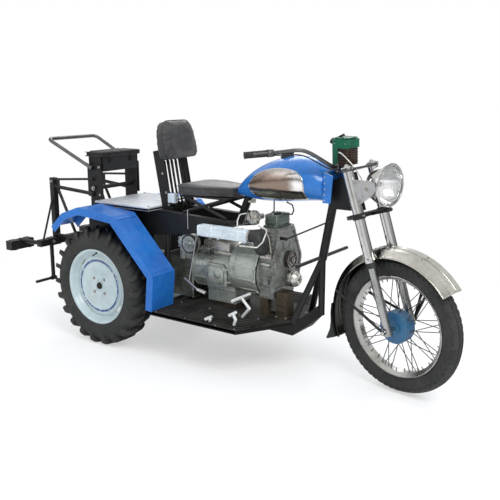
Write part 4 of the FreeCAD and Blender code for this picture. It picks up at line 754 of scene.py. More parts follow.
def pickFaces(piece, wanted):
    pick(piece)
    bpy.ops.object.mode_set(mode="EDIT")
    bpy.ops.mesh.select_mode(type="FACE")
    bpy.ops.mesh.select_all(action="DESELECT")
    bpy.ops.object.mode_set(mode="OBJECT")
    for face in piece.data.polygons:
        face.select = bool(wanted(face))
    bpy.ops.object.mode_set(mode="EDIT")


def settle(piece):
    pick(piece)
    bpy.ops.object.transform_apply(location=True, rotation=True, scale=True)
    bpy.ops.object.mode_set(mode="EDIT")
    bpy.ops.mesh.select_all(action="SELECT")
    bpy.ops.mesh.remove_doubles(threshold=0.00002)
    bpy.ops.mesh.normals_make_consistent(inside=False)
    bpy.ops.object.mode_set(mode="OBJECT")
    return piece


def finishPiece(piece, name, finish, body, smooth=35, stands=()):
    settle(piece)
    piece.name = piece.data.name = name
    bpy.ops.object.shade_smooth_by_angle(angle=math.radians(smooth))
    piece.data.materials.clear()
    piece.data.materials.append(finishes[finish])
    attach(piece, body)
    if stands:
        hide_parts(*stands)
    return piece


def fit(pieces, name, finish, node, smooth=35, stands=()):
    return finishPiece(gathered(pieces), name, finish, bodyOf[node], smooth, stands)


def fitBolts(pieces, name, node):
    return fit(pieces, name, "boltSteel", node, 30)


def chain(points, closed=False):
    pickNothing()
    bpy.ops.mesh.primitive_plane_add(size=0.002, location=points[0])
    piece = bpy.context.object
    bpy.ops.object.transform_apply(location=True)
    bpy.ops.object.mode_set(mode="EDIT")
    bpy.ops.mesh.select_mode(type="VERT")
    bpy.ops.mesh.select_all(action="SELECT")
    bpy.ops.mesh.merge(type="CENTER")
    here = Vector(points[0])
    for point in points[1:]:
        bpy.ops.mesh.extrude_vertices_move(TRANSFORM_OT_translate={"value": Vector(point) - here})
        here = Vector(point)
    if closed:
        bpy.ops.mesh.select_all(action="SELECT")
        bpy.ops.mesh.edge_face_add()
    bpy.ops.object.mode_set(mode="OBJECT")
    return piece


def slab(outline, depth):
    piece = chain(outline, closed=True)
    bpy.ops.object.mode_set(mode="EDIT")
    bpy.ops.mesh.select_all(action="SELECT")
    bpy.ops.mesh.extrude_region_move(TRANSFORM_OT_translate={"value": Vector(depth)})
    bpy.ops.object.mode_set(mode="OBJECT")
    return settle(piece)


def spun(profile, centre, axis, steps=64, side=None):
    axis = Vector(axis).normalized()
    side = side or axis.orthogonal().normalized()
    piece = chain([Vector(centre) + side * radius + axis * along for radius, along in profile])
    bpy.ops.object.mode_set(mode="EDIT")
    bpy.ops.mesh.select_all(action="SELECT")
    bpy.ops.mesh.spin(steps=steps, angle=math.tau, center=centre, axis=axis)
    bpy.ops.mesh.select_all(action="SELECT")
    bpy.ops.mesh.remove_doubles(threshold=0.00002)
    bpy.ops.object.mode_set(mode="OBJECT")
    return settle(piece)


def hoop(profile, centre, axis, steps=64, side=None):
    # a ring, its profile closed on itself
    return spun([*profile, profile[0]], centre, axis, steps, side)


def knob(profile, centre, axis, steps=64, side=None):
    # a solid turned piece, both ends carried in to a fine core
    core = 0.0005
    return spun([(core, profile[0][1]), *profile, (core, profile[-1][1])], centre, axis, steps, side)


def box(low, high):
    low, high = Vector(low), Vector(high)
    pickNothing()
    bpy.ops.mesh.primitive_cube_add(size=1, location=(low + high) / 2)
    piece = bpy.context.object
    piece.scale = high - low
    bpy.ops.object.transform_apply(location=True, rotation=True, scale=True)
    return piece


def drum(place, axis, radius, length, sides=32):
    pickNothing()
    bpy.ops.mesh.primitive_cylinder_add(vertices=sides, radius=radius, depth=length, location=place)
    piece = bpy.context.object
    piece.rotation_euler = Vector(axis).to_track_quat("Z", "Y").to_euler()
    bpy.ops.object.transform_apply(location=True, rotation=True, scale=True)
    return piece


def bevelled(piece, width, segments=2, angle=35):
    pick(piece)
    modifier = piece.modifiers.new("roundedEdges", "BEVEL")
    modifier.width, modifier.segments = width, segments
    modifier.limit_method, modifier.angle_limit = "ANGLE", math.radians(angle)
    modifier.use_clamp_overlap = True
    bpy.ops.object.modifier_apply(modifier=modifier.name)
    return piece


def softBox(low, high, width, segments=2, angle=35):
    # corners measured from the rear hubs
    return bevelled(box(ahead(*low), ahead(*high)), width, segments, angle)


def places(where, *points):
    return [where(*point) for point in points]


def withCut(piece, cutter, operation="DIFFERENCE"):
    pick(piece)
    modifier = piece.modifiers.new("cutOut", "BOOLEAN")
    modifier.operation, modifier.solver, modifier.object = operation, "EXACT", cutter
    bpy.ops.object.modifier_apply(modifier=modifier.name)
    discard(cutter)
    return piece


def tube(points, radius, order=3):
    piece = chain(points)
    pick(piece)
    bpy.ops.object.convert(target="CURVE")
    piece = bpy.context.object
    bpy.ops.object.mode_set(mode="EDIT")
    bpy.ops.curve.select_all(action="SELECT")
    bpy.ops.curve.spline_type_set(type="NURBS")
    bpy.ops.object.mode_set(mode="OBJECT")
    curve = piece.data
    curve.dimensions = "3D"
    curve.splines[0].use_endpoint_u = True
    curve.splines[0].order_u = order
    curve.splines[0].resolution_u = 8
    curve.bevel_depth, curve.bevel_resolution, curve.use_fill_caps = radius, 3, True
    bpy.ops.object.convert(target="MESH")
    return settle(bpy.context.object)


def copied(piece, matrix):
    twin = piece.copy()
    twin.data = piece.data.copy()
    bpy.context.collection.objects.link(twin)
    twin.data.transform(matrix)
    return twin


def gathered(pieces):
    pieces = [piece for piece in pieces if piece]
    pickNothing()
    for piece in pieces:
        piece.select_set(True)
    bpy.context.view_layer.objects.active = pieces[0]
    if len(pieces) > 1:
        bpy.ops.object.join()
    return pieces[0]


def roundedOutline(corners, radius, steps=4):
    points, count = [], len(corners)
    for index, corner in enumerate(corners):
        corner = Vector(corner)
        before = (Vector(corners[index - 1]) - corner).normalized()
        after = (Vector(corners[(index + 1) % count]) - corner).normalized()
        for step in range(steps + 1):
            share = step / steps
            points.append(corner + before * radius * (1 - share) ** 2 + after * radius * share ** 2)
    return points


def rotation(degrees, axis):
    return Matrix.Rotation(math.radians(degrees), 4, axis)


def flipAcross(y=0.0):
    return Matrix.Translation((0, 2 * y, 0)) @ Matrix.Diagonal((1, -1, 1, 1))


def makeBoltShape():
    washer = spun([(0.001, 0.0), (1.25, 0.0), (1.3, 0.05), (1.25, 0.14), (0.001, 0.14)], (0, 0, 0), upward,
                  20)
    head = drum((0, 0, 0.42), upward, 0.98, 0.62, 6)
    pickFaces(head, lambda face: face.normal.z > 0.9)
    bpy.ops.mesh.inset(thickness=0.14)
    bpy.ops.transform.translate(value=(0, 0, 0.08))
    bpy.ops.object.mode_set(mode="OBJECT")
    tip = spun([(0.001, 0.75), (0.42, 0.75), (0.42, 1.0), (0.34, 1.08), (0.001, 1.08)], (0, 0, 0), upward, 10)
    return gathered([washer, head, tip])


boltShape = makeBoltShape()


def bolt(place, axis, size):
    turned = Vector(axis).to_track_quat("Z", "Y").to_matrix().to_4x4()
    return copied(boltShape, Matrix.Translation(Vector(place)) @ turned @ Matrix.Scale(size, 4))


# rear tyres and wheels

rearTyre = {"bead": 0.2105, "beadHalf": 0.052, "half": 0.0715, "carcass": 0.323, "tip": 0.3425,
            "lugCount": 22, "lugWidth": 0.027, "lugSlant": 33, "lugTaper": 0.3, "shoulderDrop": 0.046}
rearWheel = {"seat": 0.2095, "flange": 0.2235, "half": 0.059, "faceIn": 0.031, "bore": 0.0172, "swage": 0.148,
             "slotRadius": 0.1795, "slotLength": 0.052, "slotWidth": 0.009, "studCircle": 0.057,
             "studSize": 0.0078}


def makeLug():
    given = rearTyre
    half, carcass, tip, shoulderDrop = taken(given, "half carcass tip shoulderDrop")
    width = given["lugWidth"]
    section = [(-0.004, carcass - 0.006), (-0.004, tip - 0.002), (0.012, tip), (half - 0.016, tip - 0.0015),
               (half - 0.003, tip - 0.012), (half + 0.0012, tip - shoulderDrop * 0.62),
               (half + 0.0002, tip - shoulderDrop - 0.012), (half - 0.006, tip - shoulderDrop - 0.008),
               (half - 0.012, carcass - 0.024), (half - 0.03, carcass - 0.007)]
    lug = slab([Vector((-width / 2, y, z)) for y, z in section], (width, 0, 0))
    bevelled(lug, 0.0022, 2)
    slant = math.tan(math.radians(given["lugSlant"]))
    for vertex in lug.data.vertices:
        x, y, z = vertex.co
        rise = max(0.0, min(1.0, (z - carcass) / (tip - carcass)))
        along = x * (1.12 - given["lugTaper"] * rise) + y * slant
        angle = along / tip
        vertex.co = (z * math.sin(angle), y, z * math.cos(angle))
    return lug


def makeRearTyre():
    half, carcass, bead, lugCount, beadHalf = taken(rearTyre, "half carcass bead lugCount beadHalf")
    wall = [(bead, beadHalf), (bead + 0.006, beadHalf + 0.004), (bead + 0.014, 0.0615),
            (bead + 0.0155, 0.0655), (bead + 0.019, 0.0665), (bead + 0.022, 0.0652), (bead + 0.03, 0.0686),
            (bead + 0.045, half - 0.0006), (bead + 0.06, half), (bead + 0.072, half - 0.001),
            (carcass - 0.034, half - 0.004), (carcass - 0.022, half - 0.0105), (carcass - 0.01, half - 0.022),
            (carcass - 0.003, half - 0.038), (carcass, 0.016), (carcass + 0.0006, 0)]
    mirrored = [(radius, -across) for radius, across in reversed(wall[:-1])]
    carcassShape = hoop(wall + mirrored, (0, 0, 0), leftward, 88, side=upward)
    lug = makeLug()
    lugs = []
    for index in range(lugCount):
        turn = index * 360 / lugCount
        lugs.append(copied(lug, rotation(turn, "Y")))
        lugs.append(copied(lug, rotation(turn + 180 / lugCount, "Y") @ rotation(180, "Z")))
    discard(lug)
    return gathered([carcassShape] + lugs)


def makeRearWheel():
    seat, flange, half, face, swage, bore = taken(rearWheel, "seat flange half faceIn swage bore")
    slotWidth, slotRadius, slotLength = taken(rearWheel, "slotWidth slotRadius slotLength")
    outside = [(bore, face - 0.004), (0.03, face - 0.004), (0.034, face - 0.001), (0.078, face - 0.001),
               (0.084, face - 0.004), (swage - 0.009, face - 0.004), (swage - 0.006, face + 0.0002),
               (swage + 0.006, face + 0.0002), (swage + 0.009, face - 0.004), (0.168, face - 0.005),
               (0.174, face - 0.01), (0.186, face - 0.014), (0.194, face - 0.006), (0.1975, face + 0.004),
               (0.2015, half - 0.012), (0.2045, half - 0.006), (0.2105, half - 0.001), (0.2165, half),
               (0.2215, half - 0.0025), (flange, half - 0.0065), (0.2215, half - 0.0075),
               (0.2165, half - 0.0045), (seat, half - 0.01), (seat, 0.02), (0.196, 0.012), (0.196, -0.02),
               (seat, -0.03), (seat, -half + 0.01), (0.2165, -half + 0.0045), (flange, -half + 0.006),
               (0.2215, -half + 0.0015), (0.2165, -half), (0.2085, -half + 0.003), (0.2045, -half + 0.012),
               (0.2045, -0.032), (0.1915, -0.018), (0.1915, 0.002), (0.184, face - 0.019),
               (0.17, face - 0.014), (0.15, face - 0.009), (0.04, face - 0.009), (0.038, face - 0.06),
               (bore, face - 0.06)]
    wheel = hoop(outside, (0, 0, 0), leftward, 96, side=upward)
    slots = []
    for turn in (42, 132, 222, 312):
        slot = box((-slotLength / 2, face - 0.05, slotRadius - slotWidth / 2),
                   (slotLength / 2, face + 0.03, slotRadius + slotWidth / 2))
        bevelled(slot, slotWidth * 0.45, 3)
        slots.append(copied(slot, rotation(turn, "Y")))
        discard(slot)
    return withCut(wheel, settle(gathered(slots)))


def makeWheelStuds():
    face, studCircle, studSize = taken(rearWheel, "faceIn studCircle studSize")
    parts = []
    for turn in (45, 135, 225, 315):
        angle = math.radians(turn)
        place = Vector((studCircle * math.sin(angle), face - 0.0012, studCircle * math.cos(angle)))
        parts.append(bolt(place, leftward, studSize))
    return gathered(parts)


def makeHubCentre():
    face = rearWheel["faceIn"]
    cup = knob([(0.009, face + 0.01), (0.0105, face + 0.008), (0.0105, face + 0.004), (0.017, face + 0.004),
                (0.0195, face + 0.0015), (0.0195, face - 0.006)], (0, 0, 0), leftward, 32)
    nut = bolt(Vector((0, face + 0.003, 0)), leftward, 0.0095)
    return gathered([cup, nut])


def makeValve():
    return spun([(0.0005, 0.0), (0.0052, 0.0), (0.0045, 0.012), (0.0032, 0.014), (0.0032, 0.028),
                 (0.0038, 0.029), (0.0038, 0.037), (0.0005, 0.038)], (0, 0.036, 0.1965),
                Vector((0, 0.93, -0.36)), 14)


def dressRearWheels():
    tyre, wheel, studs, hub, valve = (
        makeRearTyre(), makeRearWheel(), makeWheelStuds(), makeHubCentre(), makeValve())
    for side, way in (("right", -1), ("left", 1)):
        place = Matrix.Translation(rearHub[side]) @ Matrix.Diagonal((1, way, 1, 1))
        body = "rear_wheel_" + side
        fit([copied(tyre, place)], side + "LugTyre", "tyreRubber", "rear_tyre_" + side,
            stands=["rear_tyre_" + side])
        fit([copied(wheel, place)], side + "PressedWheel", "pressedWheel", body, 30,
            stands=[body])
        fitBolts([copied(studs, place)], side + "WheelStuds", body)
        fit([copied(hub, place)], side + "HubCentre", "blackEnamel", body, 30)
        fit([copied(valve, place)], side + "TyreValve", "blackRubber", body, 40)
    for piece in (tyre, wheel, studs, hub, valve):
        discard(piece)
    print("rear wheels shod")


dressRearWheels()


# front wheel: road tyre, rim edges, hub fittings

frontTyre = {"bead": 0.2508, "beadHalf": 0.0285, "half": 0.0458, "tread": 0.3395, "blockCount": 60,
             "blockWidth": 0.021, "blockRise": 0.0035}
frontWheelFit = {"rimEdge": 0.2512, "rimHalf": 0.033, "rimLip": 0.0034, "nippleRadius": 0.0036,
                 "nippleLength": 0.014, "hubRadius": 0.078, "drumRib": 0.0022}


def onFrontWheel():
    turned = Matrix((steerAhead, steerLeft, steerUp)).transposed().to_4x4()
    return Matrix.Translation(frontHub) @ turned


def makeFrontTyre():
    bead, beadHalf, half, tread = taken(frontTyre, "bead beadHalf half tread")
    blockCount, width, rise = taken(frontTyre, "blockCount blockWidth blockRise")
    wall = [(bead, beadHalf), (bead + 0.006, beadHalf + 0.003), (bead + 0.012, 0.0385),
            (bead + 0.0135, 0.0412), (bead + 0.017, 0.042), (bead + 0.02, 0.0415),
            (bead + 0.032, half - 0.001), (bead + 0.043, half), (bead + 0.052, half - 0.0014),
            (bead + 0.06, half - 0.0052), (tread - 0.0195, 0.0375), (tread - 0.0178, 0.0352),
            (tread - 0.019, 0.0345), (tread - 0.0145, 0.0295), (tread - 0.0095, 0.0235),
            (tread - 0.0072, 0.0188), (tread - 0.0105, 0.0178), (tread - 0.0098, 0.0152),
            (tread - 0.0054, 0.0145), (tread - 0.0028, 0.009), (tread - 0.0014, 0.0042),
            (tread - 0.0046, 0.0034)]
    mirrored = [(radius, -across) for radius, across in reversed(wall)]
    ring = hoop(wall + mirrored, (0, 0, 0), leftward, 96, side=upward)
    section = [(0.0345, tread - 0.0225), (0.0382, tread - 0.0208 + rise), (0.0425, tread - 0.0262 + rise),
               (0.0452, tread - 0.0325), (0.0444, tread - 0.0335), (0.0395, tread - 0.029)]
    block = slab([Vector((-width / 2, y, z)) for y, z in section], (width, 0, 0))
    bevelled(block, 0.0009, 1)
    blocks = []
    for index in range(blockCount):
        turn = index * 360 / blockCount
        blocks.append(copied(block, rotation(turn, "Y")))
        blocks.append(copied(block, rotation(turn + 3, "Y") @ rotation(180, "Z")))
    discard(block)
    return gathered([ring] + blocks)


def makeRimEdges():
    edge, lip, half = taken(frontWheelFit, "rimEdge rimLip rimHalf")
    rolls = []
    for way in (-1, 1):
        points = [(edge + lip * math.cos(step * math.pi / 4),
                   way * (half - lip * 0.7 + lip * math.sin(step * math.pi / 4))) for step in range(8)]
        rolls.append(hoop(points, (0, 0, 0), leftward, 96, side=upward))
    return gathered(rolls)


def makeHubRings():
    radius, drumRib = taken(frontWheelFit, "hubRadius drumRib")
    rings = []
    for across in (-0.042, -0.026, -0.01, 0.006):
        points = [(radius - 0.003, across - 0.0035), (radius + drumRib, across - 0.0022),
                  (radius + drumRib, across + 0.0022), (radius - 0.003, across + 0.0035)]
        rings.append(hoop(points, (0, 0, 0), leftward, 72, side=upward))
    cover = hoop([(0.0098, -0.0505), (0.022, -0.0505), (0.026, -0.0485), (0.03, -0.05), (0.052, -0.0496),
                  (0.06, -0.0484), (0.072, -0.0484), (0.0745, -0.0465), (0.0745, -0.044), (0.0098, -0.044)],
                 (0, 0, 0), leftward, 64, side=upward)
    return gathered(rings + [cover])


def makeNipples():
    nippleRadius, nippleLength = taken(frontWheelFit, "nippleRadius nippleLength")
    nipple = knob([(nippleRadius * 1.25, 0), (nippleRadius, 0.004), (nippleRadius * 0.8, nippleLength)],
                  (0, 0, 0), -upward, 8)
    parts = []
    for index in range(36):
        turn = rotation(index * 10, "Y")
        parts.append(copied(nipple, turn @ Matrix.Translation((0, 0.006 * (1 if index % 2 else -1), 0.2325))))
    discard(nipple)
    return gathered(parts)


def dressFrontWheel():
    place = onFrontWheel()
    for shape, name, finish, slot, stands in (
            (makeFrontTyre(), "frontRoadTyre", "tyreRubber", "tyre", ["front_tyre"]),
            (makeRimEdges(), "frontRimEdges", "rimSteel", "chrome", ()),
            (makeHubRings(), "frontHubRings", "fadedBlueEnamel", "blue_paint", ()),
            (makeNipples(), "spokeNipples", "boltSteel", "chrome", ())):
        shape.data.transform(place)
        fit([shape], name, finish, "front_tyre", 35, stands)
    print("front wheel dressed")


dressFrontWheel()


# driver's cushion and backrest: vinyl over padding, swollen as cloth

cushionPad = {"rear": 0.424, "taper": 0.584, "front": 0.766, "half": 0.144, "noseHalf": 0.079, "low": 0.889,
              "high": 0.94, "voxel": 0.006, "pressure": 5.0, "reach": 0.013, "seams": (-0.066, 0.066),
              "welt": 0.0034}
backPad = {"root": (0.338, 0, 1.066), "lean": -11, "rear": -0.032, "half": 0.143, "thick": 0.056,
           "height": 0.212, "voxel": 0.006, "pressure": 5.0, "reach": 0.012, "welt": 0.0032}


def swollen(piece, voxel, pressure, reach, held):
    pick(piece)
    skin = piece.modifiers.new("evenSkin", "REMESH")
    skin.mode, skin.voxel_size = "VOXEL", voxel
    bpy.ops.object.modifier_apply(modifier=skin.name)
    start = [vertex.co.copy() for vertex in piece.data.vertices]
    kept = piece.vertex_groups.new(name="held")
    kept.add([vertex.index for vertex in piece.data.vertices if held(vertex.co)], 1.0, "REPLACE")
    padding = piece.modifiers.new("padding", "CLOTH")
    padding.settings.quality = 6
    padding.settings.mass = 0.25
    padding.settings.use_pressure = True
    padding.settings.uniform_pressure_force = pressure
    padding.settings.effector_weights.gravity = 0
    padding.settings.vertex_group_mass = kept.name
    padding.point_cache.frame_start, padding.point_cache.frame_end = 1, 20
    for step in range(1, 21):
        bpy.context.scene.frame_set(step)
    pick(piece)
    bpy.ops.object.modifier_apply(modifier=padding.name)
    for vertex, first in zip(piece.data.vertices, start):
        moved = vertex.co - first
        if moved.length > reach:
            vertex.co = first + moved.normalized() * reach
    bpy.context.scene.frame_set(1)
    piece.vertex_groups.clear()
    rounded = piece.modifiers.new("rounded", "SUBSURF")
    rounded.levels = rounded.render_levels = 1
    bpy.ops.object.modifier_apply(modifier=rounded.name)
    return piece


def outlineOfCushion(grow, height):
    taper, rear, front, noseHalf, half = taken(cushionPad, "taper rear front noseHalf half")
    corners = [(rear - grow, -half - grow), (taper, -half - grow), (front + grow, -noseHalf - grow * 0.6),
               (front + grow, noseHalf + grow * 0.6), (taper, half + grow), (rear - grow, half + grow)]
    return roundedOutline([ahead(x, y, height) for x, y in corners], 0.035)


def edgeDistance(point, outline):
    best = 1.0
    for first, second in zip(outline, outline[1:] + outline[:1]):
        span = second - first
        share = max(0.0, min(1.0, (point - first).dot(span) / span.length_squared))
        best = min(best, (point - first - span * share).length)
    return best


def makeCushion():
    given = cushionPad
    low, high = taken(given, "low high")
    outline = outlineOfCushion(0, low)
    flat = [Vector((point.x, point.y, 0)) for point in outline]
    body = bevelled(slab(outline, (0, 0, high - low)), 0.006, 2)
    welt = (low + high) / 2 + 0.016

    def held(point):
        inset = edgeDistance(Vector((point.x, point.y, 0)), flat)
        onSeam = point.z > high - 0.004 and any(abs(point.y - seam) < 0.0035 for seam in given["seams"])
        onWelt = inset < 0.004 and abs(point.z - welt) < 0.004
        return point.z < low + 0.004 or onSeam or onWelt

    pad = swollen(body, given["voxel"], given["pressure"], given["reach"], held)
    fit([pad], "driverCushion", "seatVinyl", "seat_cushion", 60, ["seat_cushion"])
    beads = [tube(outlineOfCushion(0.0015, welt) + outlineOfCushion(0.0015, welt)[:2], given["welt"]),
             tube(outlineOfCushion(-0.001, low + 0.003) + outlineOfCushion(-0.001, low + 0.003)[:2],
                  given["welt"])]
    fit(beads, "cushionWelts", "seatVinyl", "seat_cushion", 60)


def onBack(x, y, z):
    root, lean = ahead(*backPad["root"]), math.radians(backPad["lean"])
    return root + Vector((x * math.cos(lean) + z * math.sin(lean), y,
                          z * math.cos(lean) - x * math.sin(lean)))


def backOutline(x, grow):
    half, height = backPad["half"] + grow, backPad["height"] + grow
    corners = [(-0.92, 0.02), (0.92, 0.02), (1.0, 0.22), (0.93, 0.74), (0.7, 0.99), (-0.7, 0.99),
               (-0.93, 0.74), (-1.0, 0.22)]
    points = roundedOutline([Vector((0, side * half, rise * height - (grow if rise < 0.1 else 0))) for side,
                             rise in corners], 0.028, 3)
    return [onBack(x, point.y, point.z) for point in points]


def makeBackrest():
    rear, thick, voxel, pressure, reach, welt = taken(backPad, "rear thick voxel pressure reach welt")
    front = rear + thick
    outline = backOutline(rear, 0)
    facing = (onBack(1, 0, 0) - onBack(0, 0, 0)).normalized()
    body = bevelled(slab(outline, facing * thick), 0.007, 2)
    root = onBack(0, 0, 0)
    flat = [point - facing * (point - root).dot(facing) for point in outline]

    def held(point):
        depth = (point - root).dot(facing)
        inset = edgeDistance(point - facing * depth, flat)
        return depth < rear + 0.004 or (inset < 0.004 and abs(depth - (front - 0.012)) < 0.004)

    pad = swollen(body, voxel, pressure, reach, held)
    fit([pad], "backrestPad", "seatVinyl", "backrest_cushion", 60, ["backrest_cushion"])
    line = backOutline(front - 0.012, 0.0012)
    fit([tube(line + line[:2], welt)], "backrestWelt", "seatVinyl", "backrest_cushion", 60)


makeCushion()
makeBackrest()
print("seat padded")


# engine: rocker cover, head bolts, flanges, pulley and alternator

rocker = {"rear": 0.9545, "front": 1.0295, "half": 0.0635, "low": 0.751, "high": 0.8152, "roll": 0.013,
          "lip": 0.0055, "lipOut": 0.006, "capX": 1.004, "capY": -0.018, "capRadius": 0.019}
blockFit = {"rear": 0.95, "front": 1.034, "side": 0.1005, "headLow": 0.664, "headHigh": 0.676,
            "plugHeights": (0.622, 0.5445, 0.467), "plugRadius": 0.017}
pulley = {"x": 1.062, "z": 0.578, "radius": 0.048, "width": 0.026, "grooves": 2}
alternator = {"x": 1.07, "y": 0.01, "z": 0.474, "radius": 0.0436, "length": 0.057, "fins": 14}


def makeRockerCover():
    given = rocker
    rear, low, front, half, high, capX, capY, lipOut, capRadius = taken(
        given, "rear low front half high capX capY lipOut capRadius")
    shell = box(ahead(rear, -half, low), ahead(front, half, high))
    pickFaces(shell, lambda face: face.normal.z > 0.9)
    bpy.ops.mesh.inset(thickness=0.01)
    bpy.ops.transform.translate(value=(0, 0, 0.0006))
    bpy.ops.object.mode_set(mode="OBJECT")
    bevelled(shell, given["roll"], 4, 60)
    lip = softBox((rear - lipOut, -half - lipOut, low - 0.0028),
                  (front + lipOut, half + lipOut, low + given["lip"]), 0.0022, 2)
    band = softBox((rear - 0.002, -half - 0.002, low + 0.022), (front + 0.002, half + 0.002, low + 0.026),
                   0.0018, 2)
    rims = [bolt(ahead(rear + 0.012 + step * 0.026, side * (half + 0.0015), low + given["lip"]), upward,
                 0.0042) for step in range(3) for side in (-1, 1)]
    fit([shell, lip, band], "rockerCover", "rockerGreen", "engine_block")
    cap = knob([(capRadius, 0.0), (capRadius, 0.007), (capRadius - 0.002, 0.01), (0.008, 0.012)],
               ahead(capX, capY, high), upward, 28)
    lobes = []
    for turn in range(6):
        angle = turn * math.pi / 3
        place = ahead(capX + capRadius * math.cos(angle), capY + capRadius * math.sin(angle), high + 0.0045)
        lobes.append(bevelled(drum(place, upward, 0.0042, 0.008, 12), 0.001, 1, 50))
    fit([cap] + lobes, "oilFillerCap", "blackPlastic", "engine_block", 40)
    for x in (rear + 0.018, front - 0.012):
        rims.append(bolt(ahead(x, 0.026, high - 0.0005), upward, 0.0068))
    fitBolts(rims, "rockerCoverNuts", "engine_block")


def makeBlockDetails():
    given = blockFit
    headHigh, rear, front, plugRadius = taken(given, "headHigh rear front plugRadius")
    parts, bolts = [], []
    for side in (-1, 1):
        parts.append(softBox((rear - 0.003, side * given["side"] - 0.005, given["headLow"]),
                             (front + 0.0008, side * given["side"] + 0.005, headHigh), 0.002, 2))
        for height in given["plugHeights"]:
            parts.append(knob([(plugRadius * 0.72, 0.0012), (plugRadius * 0.8, 0.0035),
                               (plugRadius * 0.95, 0.0045), (plugRadius, 0.001), (plugRadius, -0.006)],
                              ahead(0.992, side * (given["side"] + 0.006), height), (0, side, 0), 24))
        for step in range(3):
            bolts.append(bolt(ahead(rear + 0.012 + step * 0.03, side * (given["side"] + 0.005),
                                    headHigh - 0.006), (0, side, 0), 0.0052))
        parts.append(softBox((rear, side * given["side"] - 0.004, 0.386),
                             (front, side * given["side"] + 0.008, 0.396), 0.002, 2))
        for step in range(4):
            bolts.append(bolt(ahead(rear + 0.01 + step * 0.021, side * (given["side"] + 0.003), 0.386),
                              -upward, 0.0046))
    for height in (0.71, 0.73):
        for side in (-1, 1):
            parts.append(softBox((rear + 0.004, side * 0.1 - 0.004, height),
                                 (front - 0.004, side * 0.1 + 0.004, height + 0.006), 0.0015, 1))
    fit(parts, "blockFlanges", "engineIron", "engine_block")
    fitBolts(bolts, "blockBolts", "engine_block")


def makeTimingRim():
    x = 1.0502
    outline = [(-0.123, 0.424), (-0.147, 0.578), (-0.07, 0.742), (0.07, 0.742), (0.147, 0.578),
               (0.123, 0.424)]
    inner = [(y * 0.9, 0.578 + (z - 0.578) * 0.9) for y, z in outline]
    rim = slab([ahead(x, y, z) for y, z in outline], (0.006, 0, 0))
    hole = slab([ahead(x - 0.01, y, z) for y, z in inner], (0.03, 0, 0))
    rim = bevelled(withCut(rim, hole), 0.0014, 2)
    bolts = []
    for (y0, z0), (y1, z1) in zip(outline, outline[1:] + outline[:1]):
        for share in (0.12, 0.5, 0.88):
            y, z = (y0 + (y1 - y0) * share) * 0.948, 0.578 + (z0 + (z1 - z0) * share - 0.578) * 0.948
            bolts.append(bolt(ahead(x + 0.006, y, z), forward, 0.0046))
    boss = hoop([(0.03, 0.0), (0.062, 0.0), (0.06, 0.006), (0.052, 0.009), (0.046, 0.0095), (0.03, 0.0095)],
                ahead(x - 0.0005, 0, pulley["z"]), forward, 48)
    ribs = []
    for turn in range(0, 360, 45):
        angle = math.radians(turn + 20)
        rib = box((-0.002, -0.003, 0.058), (0.005, 0.003, 0.098))
        rib.data.transform(Matrix.Translation(ahead(x, 0, pulley["z"])) @ Matrix.Rotation(angle, 4, "X"))
        ribs.append(rib)
    fit([rim, boss] + ribs, "timingCoverRim", "engineIron", "timing_cover")
    fitBolts(bolts, "timingCoverBolts", "timing_cover")


def makeCrankPulley():
    radius, width, grooves, x, z = taken(pulley, "radius width grooves x z")
    profile = [(0.0005, 0.0), (radius * 0.93, 0.0), (radius, 0.002)]
    for index in range(grooves):
        start = 0.003 + index * (width - 0.004) / grooves
        profile += [(radius, start + 0.0012), (radius * 0.82, start + 0.0042),
                    (radius * 0.82, start + 0.0062), (radius, start + 0.0092)]
    profile += [(radius, width - 0.001), (radius * 0.93, width), (radius * 0.86, width),
                (radius * 0.84, width - 0.007), (radius * 0.62, width - 0.008), (radius * 0.6, width - 0.002),
                (radius * 0.46, width - 0.0015), (radius * 0.44, width - 0.006),
                (radius * 0.3, width - 0.006), (radius * 0.28, width + 0.003), (0.0005, width + 0.003)]
    wheel = spun(profile, ahead(x, 0, z), forward, 72)
    fit([wheel], "crankPulleyTurned", "pulleySteel", "crank_pulley", 25, ["crank_pulley"])
    nut = [bolt(ahead(x + width + 0.003, 0, z), forward, 0.01)]
    for turn in range(4):
        angle = math.radians(turn * 90 + 30)
        nut.append(bolt(ahead(x + width - 0.0015, radius * 0.53 * math.cos(angle),
                              z + radius * 0.53 * math.sin(angle)), forward, 0.0042))
    fitBolts(nut, "crankPulleyBolts", "crank_pulley")


def makeAlternator():
    given = alternator
    radius, length = taken(given, "radius length")
    middle = ahead(given["x"], given["y"], given["z"])
    body = knob([(radius * 0.94, 0.0), (radius, 0.003), (radius, 0.016), (radius * 0.95, 0.018),
                 (radius * 0.95, 0.024), (radius, 0.026), (radius * 0.99, 0.031), (radius * 0.86, 0.036),
                 (radius * 0.74, 0.044), (radius * 0.66, 0.05), (radius * 0.62, length),
                 (radius * 0.5, length), (radius * 0.46, length - 0.006), (radius * 0.24, length - 0.006),
                 (radius * 0.22, length)], middle, forward, 64)
    fins = []
    for turn in range(given["fins"]):
        fin = slab([Vector((0.03, -0.0011, radius * 0.95)), Vector((0.034, -0.0011, radius * 0.99)),
                    Vector((length - 0.003, -0.0011, radius * 0.72)),
                    Vector((length - 0.003, -0.0011, radius * 0.58))], (0, 0.0022, 0))
        fin.data.transform(Matrix.Translation(middle) @ Matrix.Rotation(math.tau * turn / given["fins"], 4,
                                                                        "X"))
        fins.append(fin)
    fit([body] + fins, "alternatorCone", "brightAlloy", "alternator", 30, ["alternator"])
    nut = [bolt(middle + forward * (length - 0.001), forward, 0.0075)]
    for turn in (40, 160, 280):
        angle = math.radians(turn)
        nut.append(bolt(middle + Vector((0.031, radius * 0.88 * math.cos(angle),
                                         radius * 0.88 * math.sin(angle))), forward, 0.004))
    fitBolts(nut, "alternatorNuts", "alternator")


makeRockerCover()
makeBlockDetails()
makeTimingRim()
makeCrankPulley()
makeAlternator()
print("engine detailed")


